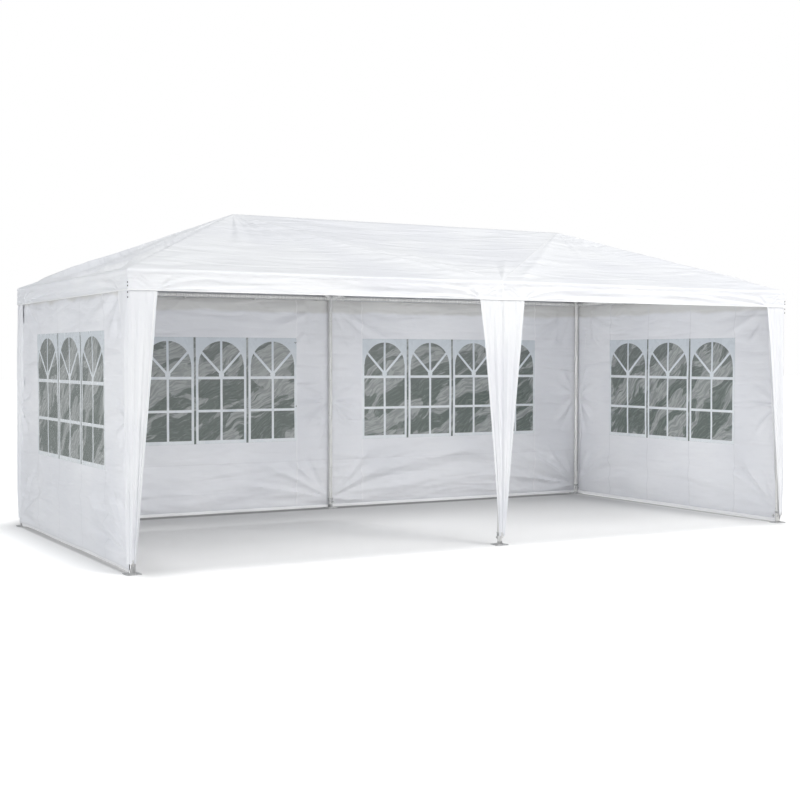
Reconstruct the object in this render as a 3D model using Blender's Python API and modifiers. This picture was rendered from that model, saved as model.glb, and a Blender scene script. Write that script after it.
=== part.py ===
"""Marquee tent, 6 m by 3 m, on six steel legs.

The frame is made of straight tubes that slip into welded connectors. A hipped
fabric cover with a straight valance lies over it, and a tapered drape hangs
down each leg. Four fabric walls with a strip of clear windows close the back
and the two ends, and the front is open.

X runs along the tent, Y runs from the open front to the back, and Z is up.
The origin is on the ground under the middle of the tent.
"""

import math

import bmesh
import bpy
from mathutils import Vector

# Main sizes, in metres
LENGTH = 6.0            # between the axes of the end legs
WIDTH = 3.0             # between the axes of the front and back legs
EAVE_HEIGHT = 2.080     # fold of the cover above the valance
RIDGE_HEIGHT = 2.660
RIDGE_HALF = 1.640      # half the length of the ridge
VALANCE_DROP = 0.148

# Tubes and their fittings
LEG_RADIUS = 0.019
POLE_RADIUS = 0.016
LEG_SLEEVE_RADIUS = 0.0225
POLE_SLEEVE_RADIUS = 0.0195
BALL_RADIUS = 0.0243    # middle of a connector, which the cover lies on
SLEEVE_REACH = 0.130    # from the middle of a connector to a sleeve's mouth
BORE_STOP = 0.056       # from the middle of a connector to a tube's end
COLLAR_RADIUS = 0.0205
COLLAR_HEIGHT = 1.060   # middle of the collar that joins the two leg tubes
COLLAR_HALF = 0.012
FIT = 0.0003            # clearance between touching pieces

# Feet
PLATE_SIDE = 0.110
PLATE_THICK = 0.006
PLATE_CORNER = 0.012
SOCKET_RADIUS = 0.025
SOCKET_HEIGHT = 0.100

# Fabric
FABRIC = 0.003
WALL_THICK = 0.002
WALL_BOTTOM = 0.010
WALL_TOP = 2.040
WALL_FRONT = 0.015      # how far an end wall runs past the front legs' axes
WINDOW_BOTTOM = 0.670
WINDOW_TOP = 1.670
END_WINDOW_HALF = 0.930
BACK_WINDOW_NEAR = 0.360
BACK_WINDOW_FAR = 2.455
DRAPE_BOTTOM = 0.100
DRAPE_TOP_WIDTH = 0.210
DRAPE_BOTTOM_WIDTH = 0.045
MIDDLE_DRAPE_TOP = 0.210
MIDDLE_DRAPE_BOTTOM = 0.026
ROOF_SEAM = 0.0030      # what a roof panel gives up along a hip
VALANCE_SEAM = 0.0033   # what an end panel gives up at a corner

# Planes that follow from the sizes above
HALF_LENGTH = LENGTH / 2
HALF_WIDTH = WIDTH / 2
WALL_INSIDE = SOCKET_RADIUS + FIT + 0.0001
COVER_INSIDE = WALL_INSIDE + WALL_THICK + FIT + 0.0001
COVER_OUTSIDE = COVER_INSIDE + FABRIC
COVER_X = HALF_LENGTH + COVER_OUTSIDE
COVER_Y = HALF_WIDTH + COVER_OUTSIDE
RAIL_HEIGHT = EAVE_HEIGHT - 0.018
PEAK_HEIGHT = RIDGE_HEIGHT - 0.030

TUBE_SIDES = 24
SMOOTH_ANGLE = math.radians(35)

for leftover in list(bpy.data.objects):
    bpy.data.objects.remove(leftover, do_unlink=True)


def make_collection(name):
    collection = bpy.data.collections.new(name)
    bpy.context.scene.collection.children.link(collection)
    return collection


tent_parts = make_collection("marquee_tent")


def make_material(name, colour, roughness, metallic=0.0, alpha=1.0):
    material = bpy.data.materials.new(name)
    material.use_nodes = True
    shader = material.node_tree.nodes["Principled BSDF"]
    shader.inputs["Base Color"].default_value = (*colour, 1.0)
    shader.inputs["Roughness"].default_value = roughness
    shader.inputs["Metallic"].default_value = metallic
    shader.inputs["Alpha"].default_value = alpha
    return material


def keep(obj, name, material):
    """Name the object, give it its own material and file it with the tent."""
    obj.name = name
    obj.data.name = name
    for collection in list(obj.users_collection):
        collection.objects.unlink(obj)
    tent_parts.objects.link(obj)
    obj.data.materials.clear()
    own = material.copy()
    own.name = name
    obj.data.materials.append(own)
    return obj


def smooth(obj):
    """Shade round faces smooth and leave the edges of flat ones sharp."""
    obj.data.shade_smooth()
    obj.data.set_sharp_from_angle(angle=SMOOTH_ANGLE)


def add_cylinder(start, end, radius):
    """Add a cylinder whose axis runs from start to end."""
    start = Vector(start)
    run = Vector(end) - start
    bpy.ops.mesh.primitive_cylinder_add(
        vertices=TUBE_SIDES, radius=radius, depth=run.length, location=start + run / 2
    )
    obj = bpy.context.object
    obj.rotation_mode = "QUATERNION"
    obj.rotation_quaternion = run.to_track_quat("Z", "Y")
    return obj


def add_box(low, high):
    """Add a box between two opposite corners."""
    low = Vector(low)
    high = Vector(high)
    bpy.ops.mesh.primitive_cube_add(size=1.0, location=(low + high) / 2)
    obj = bpy.context.object
    obj.scale = high - low
    bpy.ops.object.transform_apply(location=False, rotation=False, scale=True)
    return obj


def combine(base, others, operation):
    """Join others to base, or cut them out of it, and remove them."""
    for other in others:
        step = base.modifiers.new(operation.lower(), "BOOLEAN")
        step.operation = operation
        step.solver = "EXACT"
        step.object = other
        bpy.context.view_layer.objects.active = base
        bpy.ops.object.modifier_apply(modifier=step.name)
        bpy.data.objects.remove(other, do_unlink=True)


def make_pole(name, start, end):
    """A roof or eave tube, which stops inside the connector at each end."""
    start = Vector(start)
    end = Vector(end)
    along = (end - start).normalized()
    inset = along * (BORE_STOP + FIT)
    pole = add_cylinder(start + inset, end - inset, POLE_RADIUS)
    smooth(pole)
    return keep(pole, name, pole_finish)


def make_connector(name, centre, leg, targets):
    """A ball of welded sleeves: one for each tube that meets here.

    leg says whether a leg goes up into it, and targets are the far ends of
    the other tubes.
    """
    centre = Vector(centre)
    runs = [((Vector(target) - centre).normalized(), POLE_SLEEVE_RADIUS, POLE_RADIUS)
            for target in targets]
    if leg:
        runs.append((Vector((0, 0, -1)), LEG_SLEEVE_RADIUS, LEG_RADIUS))
    bpy.ops.mesh.primitive_uv_sphere_add(
        segments=TUBE_SIDES, ring_count=TUBE_SIDES // 2, radius=BALL_RADIUS, location=centre
    )
    connector = bpy.context.object
    sleeves = [add_cylinder(centre, centre + run * SLEEVE_REACH, radius)
               for run, radius, _ in runs]
    combine(connector, sleeves, "UNION")
    bores = [
        add_cylinder(centre + run * BORE_STOP, centre + run * (SLEEVE_REACH + 0.01), tube + FIT)
        for run, _, tube in runs
    ]
    combine(connector, bores, "DIFFERENCE")
    smooth(connector)
    return keep(connector, name, fitting_finish)


def make_leg(name, x, y):
    """A leg of two tubes joined by a collar, turned from one profile."""
    low = PLATE_THICK + FIT
    high = RAIL_HEIGHT - BORE_STOP - FIT
    profile = [
        (0, high),
        (LEG_RADIUS, high),
        (LEG_RADIUS, COLLAR_HEIGHT + COLLAR_HALF),
        (COLLAR_RADIUS, COLLAR_HEIGHT + COLLAR_HALF),
        (COLLAR_RADIUS, COLLAR_HEIGHT - COLLAR_HALF),
        (LEG_RADIUS, COLLAR_HEIGHT - COLLAR_HALF),
        (LEG_RADIUS, low),
        (0, low),
    ]
    mesh = bpy.data.meshes.new(name)
    edges = [(i, i + 1) for i in range(len(profile) - 1)]
    mesh.from_pydata([(radius, 0, z) for radius, z in profile], edges, [])
    leg = bpy.data.objects.new(name, mesh)
    tent_parts.objects.link(leg)
    turn = leg.modifiers.new("turn", "SCREW")
    turn.steps = TUBE_SIDES
    turn.render_steps = TUBE_SIDES
    turn.use_merge_vertices = True
    turn.merge_threshold = 0.0001
    leg.location = (x, y, 0)
    bpy.context.view_layer.objects.active = leg
    bpy.ops.object.modifier_apply(modifier=turn.name)
    smooth(leg)
    return keep(leg, name, leg_finish)


def make_foot(name, x, y):
    """A square plate with round corners and a socket that takes the leg."""
    half = PLATE_SIDE / 2
    plate = add_box((x - half, y - half, 0), (x + half, y + half, PLATE_THICK))
    shape = bmesh.new()
    shape.from_mesh(plate.data)
    upright = [edge for edge in shape.edges
               if abs(edge.verts[0].co.z - edge.verts[1].co.z) > PLATE_THICK / 2]
    bmesh.ops.bevel(shape, geom=upright, offset=PLATE_CORNER, segments=4, profile=0.5,
                    affect="EDGES")
    shape.to_mesh(plate.data)
    shape.free()
    socket = add_cylinder((x, y, PLATE_THICK / 2), (x, y, SOCKET_HEIGHT), SOCKET_RADIUS)
    combine(plate, [socket], "UNION")
    bore = add_cylinder((x, y, PLATE_THICK), (x, y, SOCKET_HEIGHT + 0.01), LEG_RADIUS + FIT)
    combine(plate, [bore], "DIFFERENCE")
    smooth(plate)
    return keep(plate, name, fitting_finish)


def make_sheet(name, points, faces, thickness, material):
    """A folded flat sheet, thickened towards the inside of the tent."""
    mesh = bpy.data.meshes.new(name)
    mesh.from_pydata(points, [], faces)
    sheet = bpy.data.objects.new(name, mesh)
    tent_parts.objects.link(sheet)
    body = sheet.modifiers.new("thickness", "SOLIDIFY")
    body.thickness = thickness
    body.offset = -1
    body.solidify_mode = "NON_MANIFOLD"
    body.nonmanifold_thickness_mode = "CONSTRAINTS"
    bpy.context.view_layer.objects.active = sheet
    bpy.ops.object.modifier_apply(modifier=body.name)
    return keep(sheet, name, material)


def make_long_roof(name, side):
    """The front or back slope with its valance; side is -1 in front."""
    corner = COVER_X - ROOF_SEAM
    ridge = RIDGE_HALF - ROOF_SEAM
    rise = (RIDGE_HEIGHT - EAVE_HEIGHT) / COVER_Y
    seam = ROOF_SEAM
    points = [
        (-corner, side * COVER_Y, EAVE_HEIGHT - VALANCE_DROP),
        (corner, side * COVER_Y, EAVE_HEIGHT - VALANCE_DROP),
        (corner, side * COVER_Y, EAVE_HEIGHT),
        (-corner, side * COVER_Y, EAVE_HEIGHT),
        (ridge, side * seam, RIDGE_HEIGHT - seam * rise),
        (-ridge, side * seam, RIDGE_HEIGHT - seam * rise),
    ]
    faces = [(0, 1, 2, 3), (3, 2, 4, 5)]
    if side > 0:
        faces = [tuple(reversed(face)) for face in faces]
    return make_sheet(name, points, faces, FABRIC, cover_fabric)


def make_end_roof(name, side):
    """The left or right hip with its valance; side is -1 on the left."""
    corner = COVER_Y - VALANCE_SEAM
    rise = (RIDGE_HEIGHT - EAVE_HEIGHT) / (COVER_X - RIDGE_HALF)
    tip = RIDGE_HALF + ROOF_SEAM
    points = [
        (side * COVER_X, -corner, EAVE_HEIGHT - VALANCE_DROP),
        (side * COVER_X, corner, EAVE_HEIGHT - VALANCE_DROP),
        (side * COVER_X, corner, EAVE_HEIGHT),
        (side * COVER_X, -corner, EAVE_HEIGHT),
        (side * tip, 0, RIDGE_HEIGHT - ROOF_SEAM * rise),
    ]
    faces = [(0, 1, 2, 3), (3, 2, 4)]
    if side < 0:
        faces = [tuple(reversed(face)) for face in faces]
    return make_sheet(name, points, faces, FABRIC, cover_fabric)


def make_corner_drape(name, side_x, side_y):
    """A drape folded round a corner leg, wide at the valance and narrow below."""
    top = EAVE_HEIGHT - VALANCE_DROP - FIT
    x = side_x * COVER_X
    y = side_y * COVER_Y
    points = [
        (x, y - side_y * DRAPE_BOTTOM_WIDTH, DRAPE_BOTTOM),
        (x, y, DRAPE_BOTTOM),
        (x - side_x * DRAPE_BOTTOM_WIDTH, y, DRAPE_BOTTOM),
        (x - side_x * DRAPE_TOP_WIDTH, y, top),
        (x, y, top),
        (x, y - side_y * DRAPE_TOP_WIDTH, top),
    ]
    faces = [(0, 1, 4, 5), (1, 2, 3, 4)]
    if side_x * side_y < 0:
        faces = [tuple(reversed(face)) for face in faces]
    return make_sheet(name, points, faces, FABRIC, cover_fabric)


def make_middle_drape(name, side):
    """A flat drape in front of a middle leg; side is -1 in front."""
    top = EAVE_HEIGHT - VALANCE_DROP - FIT
    y = side * COVER_Y
    points = [
        (-MIDDLE_DRAPE_BOTTOM, y, DRAPE_BOTTOM),
        (MIDDLE_DRAPE_BOTTOM, y, DRAPE_BOTTOM),
        (MIDDLE_DRAPE_TOP, y, top),
        (-MIDDLE_DRAPE_TOP, y, top),
    ]
    faces = [(0, 1, 2, 3)]
    if side > 0:
        faces = [tuple(reversed(face)) for face in faces]
    return make_sheet(name, points, faces, FABRIC, cover_fabric)


def make_back_wall(name, window_name, side):
    """A back wall panel and its window strip; side is -1 for the left bay."""
    near = HALF_WIDTH + WALL_INSIDE
    far = near + WALL_THICK
    outer_end = HALF_LENGTH + WALL_INSIDE - FIT
    ends = sorted((side * FIT, side * outer_end))
    window = sorted((side * BACK_WINDOW_NEAR, side * BACK_WINDOW_FAR))
    wall = add_box((ends[0], near, WALL_BOTTOM), (ends[1], far, WALL_TOP))
    cut = add_box((window[0], near - 0.01, WINDOW_BOTTOM), (window[1], far + 0.01, WINDOW_TOP))
    combine(wall, [cut], "DIFFERENCE")
    keep(wall, name, wall_fabric)
    pane = add_box(
        (window[0] + FIT, near, WINDOW_BOTTOM + FIT), (window[1] - FIT, far, WINDOW_TOP - FIT)
    )
    keep(pane, window_name, clear_sheet)


def make_end_wall(name, window_name, side):
    """An end wall panel and its window strip; side is -1 on the left."""
    planes = sorted((side * (HALF_LENGTH + WALL_INSIDE),
                     side * (HALF_LENGTH + WALL_INSIDE + WALL_THICK)))
    front = -HALF_WIDTH - WALL_FRONT
    back = HALF_WIDTH + WALL_INSIDE + WALL_THICK
    wall = add_box((planes[0], front, WALL_BOTTOM), (planes[1], back, WALL_TOP))
    cut = add_box(
        (planes[0] - 0.01, -END_WINDOW_HALF, WINDOW_BOTTOM),
        (planes[1] + 0.01, END_WINDOW_HALF, WINDOW_TOP),
    )
    combine(wall, [cut], "DIFFERENCE")
    keep(wall, name, wall_fabric)
    pane = add_box(
        (planes[0], -END_WINDOW_HALF + FIT, WINDOW_BOTTOM + FIT),
        (planes[1], END_WINDOW_HALF - FIT, WINDOW_TOP - FIT),
    )
    keep(pane, window_name, clear_sheet)


# Finishes
leg_finish = make_material("leg_finish", (0.56, 0.57, 0.57), 0.45, 0.6)
pole_finish = make_material("pole_finish", (0.60, 0.61, 0.61), 0.45, 0.6)
fitting_finish = make_material("fitting_finish", (0.45, 0.46, 0.47), 0.50, 0.7)
cover_fabric = make_material("cover_fabric", (0.86, 0.87, 0.89), 0.55)
wall_fabric = make_material("wall_fabric", (0.80, 0.81, 0.84), 0.55)
clear_sheet = make_material("clear_sheet", (0.35, 0.40, 0.40), 0.20, 0.0, 0.5)

# Legs and feet
stations = {
    "front_left": (-HALF_LENGTH, -HALF_WIDTH),
    "front_middle": (0, -HALF_WIDTH),
    "front_right": (HALF_LENGTH, -HALF_WIDTH),
    "back_left": (-HALF_LENGTH, HALF_WIDTH),
    "back_middle": (0, HALF_WIDTH),
    "back_right": (HALF_LENGTH, HALF_WIDTH),
}
for place, (leg_x, leg_y) in stations.items():
    make_foot("foot_" + place, leg_x, leg_y)
    make_leg("leg_" + place, leg_x, leg_y)

# Tubes of the eaves and the roof, each between the middles of two connectors
heads = {place: (x, y, RAIL_HEIGHT) for place, (x, y) in stations.items()}
heads["peak_left"] = (-RIDGE_HALF, 0, PEAK_HEIGHT)
heads["peak_right"] = (RIDGE_HALF, 0, PEAK_HEIGHT)
tubes = {
    "eave_rail_front_left": ("front_left", "front_middle"),
    "eave_rail_front_right": ("front_middle", "front_right"),
    "eave_rail_back_left": ("back_left", "back_middle"),
    "eave_rail_back_right": ("back_middle", "back_right"),
    "eave_rail_left_end": ("front_left", "back_left"),
    "eave_rail_right_end": ("front_right", "back_right"),
    "hip_rafter_front_left": ("front_left", "peak_left"),
    "hip_rafter_back_left": ("back_left", "peak_left"),
    "hip_rafter_front_right": ("front_right", "peak_right"),
    "hip_rafter_back_right": ("back_right", "peak_right"),
    "middle_rafter_front_left": ("front_middle", "peak_left"),
    "middle_rafter_front_right": ("front_middle", "peak_right"),
    "middle_rafter_back_left": ("back_middle", "peak_left"),
    "middle_rafter_back_right": ("back_middle", "peak_right"),
    "ridge_pole": ("peak_left", "peak_right"),
}
for tube_name, (first, second) in tubes.items():
    make_pole(tube_name, heads[first], heads[second])

# Connectors, each with a sleeve towards every tube that ends in it
for place, head in heads.items():
    targets = []
    for first, second in tubes.values():
        if first == place:
            targets.append(heads[second])
        elif second == place:
            targets.append(heads[first])
    make_connector("connector_" + place, head, place in stations, targets)

# Cover
make_long_roof("roof_front", -1)
make_long_roof("roof_back", 1)
make_end_roof("roof_left", -1)
make_end_roof("roof_right", 1)
make_corner_drape("drape_front_left", -1, -1)
make_corner_drape("drape_front_right", 1, -1)
make_corner_drape("drape_back_left", -1, 1)
make_corner_drape("drape_back_right", 1, 1)
make_middle_drape("drape_front_middle", -1)
make_middle_drape("drape_back_middle", 1)

# Walls
make_back_wall("back_wall_left", "back_windows_left", -1)
make_back_wall("back_wall_right", "back_windows_right", 1)
make_end_wall("left_wall", "left_windows", -1)
make_end_wall("right_wall", "right_windows", 1)
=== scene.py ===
"""Marquee tent, 6 m by 3 m: fabric, windows, fastenings, finishes and studio.

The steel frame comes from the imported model. This file hangs the fabric on it:
one hipped roof cover with its valance, a drape down each leg, four walls with
their window strips, and the ties, then it finishes the tubes and fittings.

X runs along the tent, Y runs from the open front to the back, and Z is up.
All sizes are in metres.
"""

import math
from collections import namedtuple

import bmesh
import bpy
import numpy as np
from mathutils import Matrix, Vector, noise


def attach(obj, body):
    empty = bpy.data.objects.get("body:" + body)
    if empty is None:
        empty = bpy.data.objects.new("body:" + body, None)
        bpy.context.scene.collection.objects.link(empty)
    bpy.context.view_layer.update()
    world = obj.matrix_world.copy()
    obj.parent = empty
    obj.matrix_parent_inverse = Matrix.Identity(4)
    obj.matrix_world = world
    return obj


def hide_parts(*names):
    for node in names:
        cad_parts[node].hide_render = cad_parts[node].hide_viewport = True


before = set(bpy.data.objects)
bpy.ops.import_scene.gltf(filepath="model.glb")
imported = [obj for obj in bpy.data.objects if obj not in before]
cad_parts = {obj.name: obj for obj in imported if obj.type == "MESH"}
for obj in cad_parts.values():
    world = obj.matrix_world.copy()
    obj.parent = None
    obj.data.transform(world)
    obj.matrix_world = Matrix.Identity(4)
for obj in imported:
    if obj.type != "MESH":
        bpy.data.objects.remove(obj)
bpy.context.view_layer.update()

bl_info = {
    "name": "Marquee tent",
    "version": (1, 0, 0),
    "blender": (4, 5, 0),
    "location": "View3D > Sidebar > Marquee tent",
    "description": "Dresses the frame of a 6 m by 3 m marquee tent with its fabric",
    "category": "Object",
}

# Sizes shared with the frame
HALF_LENGTH = 3.0
HALF_WIDTH = 1.5
EAVE_HEIGHT = 2.080
RIDGE_HEIGHT = 2.660
RIDGE_HALF = 1.640
VALANCE_BOTTOM = 1.932
RAIL_HEIGHT = 2.062
RAIL_RADIUS = 0.016
COVER_OFFSET = 0.0308   # outer face of the cover, from the axis of a leg
WALL_OFFSET = 0.0264    # middle of a wall's thickness, from the axis of a leg
COVER_X = HALF_LENGTH + COVER_OFFSET
COVER_Y = HALF_WIDTH + COVER_OFFSET
WALL_BOTTOM = 0.010
WALL_TOP = 2.040
WINDOW_BOTTOM = 0.670
WINDOW_TOP = 1.670
END_WINDOW_HALF = 0.930
BACK_WINDOW_NEAR = 0.360
BACK_WINDOW_FAR = 2.455
CORNER_DRAPE_TOP = 0.210
CORNER_DRAPE_BOTTOM = 0.045
MIDDLE_DRAPE_TOP = 0.210
MIDDLE_DRAPE_BOTTOM = 0.026

WELD_DISTANCE = 0.00005     # points of two patches this near become one
CLOTH_SMOOTH_ANGLE = 50

# Turns of a primitive whose own axis is upright
ALONG_X = (0, math.pi / 2, 0)
ALONG_Y = (math.pi / 2, 0, 0)

STATIONS = {
    "front_left": (-1, -1),
    "front_middle": (0, -1),
    "front_right": (1, -1),
    "back_left": (-1, 1),
    "back_middle": (0, 1),
    "back_right": (1, 1),
}


def hold(low, value, high):
    """The value, kept between low and high."""
    return np.minimum(np.maximum(value, low), high)


def ease(start, end, value):
    """0 before start, 1 after end, and a smooth rise between them."""
    t = hold(0.0, (value - start) / (end - start), 1.0)
    return t * t * (3 - 2 * t)


def smooth_min(first, second, width):
    """The lower of two heights, rounded over where they cross."""
    gap = np.maximum(width - np.abs(first - second), 0.0)
    return np.minimum(first, second) - gap * gap / (4 * width)


def sweep(across, up, start, end, power, depth, width):
    """One fold from start to end, both in (across, up), that bends as it goes.

    With power 1 it is straight. Above that it rises early and then levels out.
    """
    run, rise = end[0] - start[0], end[1] - start[1]
    t = hold(0.0, (across - start[0]) / run, 1.0)
    line = start[1] + rise * (1 - (1 - t) ** power)
    slope = rise * power * (1 - t) ** (power - 1) / run
    off = (up - line) / np.sqrt(1 + slope * slope)
    ends = ease(0.0, 0.10, t) * (1 - ease(0.65, 1.0, t))
    return depth * ends * np.exp(-(np.abs(off / (width * (0.3 + 0.7 * t))) ** 1.4))


def fan(across, up, spokes, depth, width, seed, power=1.0):
    """Folds that spread from a tie at (0, 0), each given by its far end and depth."""
    total = 0 * across * up
    for number, (far_across, far_up, share) in enumerate(spokes):
        stretch = 1 + 0.12 * math.sin(2.3 * seed + 1.9 * number)
        lean = 0.05 * math.sin(4.1 * seed + 2.7 * number)
        far = (stretch * (far_across - lean * far_up), stretch * (far_up + lean * far_across))
        if abs(far[0]) >= abs(far[1]):
            total = total + sweep(across, up, (0, 0), far, power, depth * share, width)
        else:
            total = total + sweep(up, across, (0, 0), far[::-1], power, depth * share, width)
    return total


def rumple(x, y, z, scale, seed, octaves):
    """Smooth noise at each point, about -1 to 1."""
    shape = np.broadcast(x, y, z).shape
    flat = [np.broadcast_to(c, shape).ravel() for c in (x, y, z)]
    values = [
        noise.fractal(Vector((a * scale[0] + seed, b * scale[1], c * scale[2])), 0.9, 2.0, octaves)
        for a, b, c in zip(*flat)
    ]
    return np.array(values).reshape(shape)


def rumple_flat(x, y, scale, seed, octaves=3):
    """The same noise on a flat pattern, with its scale in x and in y."""
    return rumple(x, y, 0 * y, (*scale, 1.0), seed, octaves)


def steps_between(stops, step):
    """Positions through all the stops, no further apart than step."""
    line = [stops[0]]
    for start, end in zip(stops[:-1], stops[1:]):
        count = max(1, math.ceil((end - start) / step - 1e-6))
        line += [start + (end - start) * k / count for k in range(1, count + 1)]
    return np.array(line)


def steps_finer(length, near, fine, coarse):
    """Positions along a length, closer together within near of both ends."""
    middle = steps_between([near, length - near], coarse)
    head = steps_between([0.0, near], fine)
    return np.concatenate([head, middle[1:-1], length - head[::-1]])


def deselect():
    if bpy.context.object and bpy.context.object.mode != "OBJECT":
        bpy.ops.object.mode_set(mode="OBJECT")
    bpy.ops.object.select_all(action="DESELECT")


def pick(obj):
    """Make obj the only selected object, and the active one."""
    deselect()
    obj.select_set(True)
    bpy.context.view_layer.objects.active = obj
    return obj


def apply(obj, kind, **settings):
    """Add a modifier, set it up and apply it."""
    pick(obj)
    step = obj.modifiers.new(kind.lower(), kind)
    for key, value in settings.items():
        setattr(step, key, value)
    bpy.ops.object.modifier_apply(modifier=step.name)
    return obj


def freeze(obj):
    """Bring the object to the origin, unturned and unscaled."""
    pick(obj)
    bpy.ops.object.transform_apply(location=True, rotation=True, scale=True)
    return obj


def smooth_by_angle(obj, degrees):
    pick(obj)
    bpy.ops.object.shade_smooth_by_angle(angle=math.radians(degrees))
    return obj


def add_primitive(operator, **settings):
    """Add one of Blender's primitives at its place, as the only selected object."""
    deselect()
    operator(**settings)
    return freeze(bpy.context.object)


def add_block(low, high):
    """A box between two opposite corners."""
    low, high = Vector(low), Vector(high)
    return add_primitive(
        bpy.ops.mesh.primitive_cube_add, size=1.0, location=(low + high) / 2, scale=high - low)


def cut(target, tool, operation="DIFFERENCE"):
    """Cut the tool out of the target, or join it on, and remove the tool."""
    apply(target, "BOOLEAN", operation=operation, solver="EXACT", object=tool)
    bpy.data.objects.remove(tool, do_unlink=True)
    return target


def copy_of(source, name):
    twin = source.copy()
    twin.data = source.data.copy()
    twin.name = twin.data.name = name
    bpy.context.scene.collection.objects.link(twin)
    return twin


def join_pieces(pieces):
    deselect()
    for piece in pieces:
        piece.select_set(True)
    bpy.context.view_layer.objects.active = pieces[0]
    bpy.ops.object.join()
    return bpy.context.object


def vertices_of(obj):
    flat = np.empty(3 * len(obj.data.vertices))
    obj.data.vertices.foreach_get("co", flat)
    return flat.reshape(-1, 3)


def move_vertices(obj, points):
    obj.data.vertices.foreach_set("co", points.ravel())
    obj.data.update()


def turn_faces_out(obj):
    pick(obj)
    bpy.ops.object.mode_set(mode="EDIT")
    bpy.ops.mesh.select_all(action="SELECT")
    bpy.ops.mesh.normals_make_consistent(inside=False)
    bpy.ops.object.mode_set(mode="OBJECT")


def select_edges(obj, test):
    """In edit mode, select the edges whose two ends pass the test."""
    bpy.ops.mesh.select_all(action="DESELECT")
    bpy.ops.mesh.select_mode(type="EDGE")
    shape = bmesh.from_edit_mesh(obj.data)
    for edge in shape.edges:
        edge.select_set(test(edge.verts[0].co, edge.verts[1].co))
    bmesh.update_edit_mesh(obj.data)


def select_top_faces(obj):
    """In edit mode, select the faces that point straight up."""
    bpy.ops.mesh.select_mode(type="FACE")
    bpy.ops.mesh.select_all(action="DESELECT")
    shape = bmesh.from_edit_mesh(obj.data)
    for face in shape.faces:
        face.select_set(face.normal.z > 0.9)
    bmesh.update_edit_mesh(obj.data)


def dress(obj, name, material):
    """Name a finished piece, give it its material and tie it to the frame's body."""
    obj.name = name
    obj.data.name = name
    obj.data.materials.clear()
    obj.data.materials.append(material)
    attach(obj, "root")
    return obj


def make_cloth(name, patches, thickness, material):
    """One sheet sewn from grids of points, each with its flat coordinates.

    A patch is (points, flat, kept, seams): points in rows and columns, the
    flat coordinate of each in metres, which of its squares are there (None for
    all), and 1 at a sewn seam, -1 in a sharp crease and 0 elsewhere. The seams
    give a small relief and also painted light: a painted highlight above 0
    and painted shade below 0.
    """
    verts, faces, flats, sewn = [], [], [], []
    base = 0
    for points, flat, kept, seams in patches:
        rows, columns = points.shape[:2]
        verts.append(points.reshape(-1, 3))
        sewn.append(np.broadcast_to(seams, (rows, columns)).ravel())
        index = base + np.arange(rows * columns).reshape(rows, columns)
        corners = ((slice(-1), slice(-1)), (slice(-1), slice(1, None)),
                   (slice(1, None), slice(1, None)), (slice(1, None), slice(-1)))
        quads = np.stack([index[corner] for corner in corners], axis=-1)
        places = np.stack([flat[corner] for corner in corners], axis=-2)
        if kept is not None:
            quads, places = quads[kept], places[kept]
        faces.append(quads.reshape(-1, 4))
        flats.append(places.reshape(-1, 2))
        base += rows * columns
    mesh = bpy.data.meshes.new(name)
    mesh.from_pydata(np.concatenate(verts).tolist(), [], np.concatenate(faces).tolist())
    flat_map = mesh.uv_layers.new(name="cut")
    flat_map.uv.foreach_set("vector", np.concatenate(flats).ravel())
    seam = mesh.attributes.new("seam", "FLOAT", "POINT")
    seam.data.foreach_set("value", np.concatenate(sewn).astype(float))
    shape = bmesh.new()
    shape.from_mesh(mesh)
    bmesh.ops.remove_doubles(shape, verts=shape.verts, dist=WELD_DISTANCE)
    loose = [vert for vert in shape.verts if not vert.link_faces]
    bmesh.ops.delete(shape, geom=loose, context="VERTS")
    shape.to_mesh(mesh)
    shape.free()
    cloth = bpy.data.objects.new(name, mesh)
    bpy.context.scene.collection.objects.link(cloth)
    apply(cloth, "SOLIDIFY", thickness=thickness, offset=0.0, use_even_offset=False)
    smooth_by_angle(cloth, CLOTH_SMOOTH_ANGLE)
    return dress(cloth, name, material)


# Materials ---------------------------------------------------------------


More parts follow.
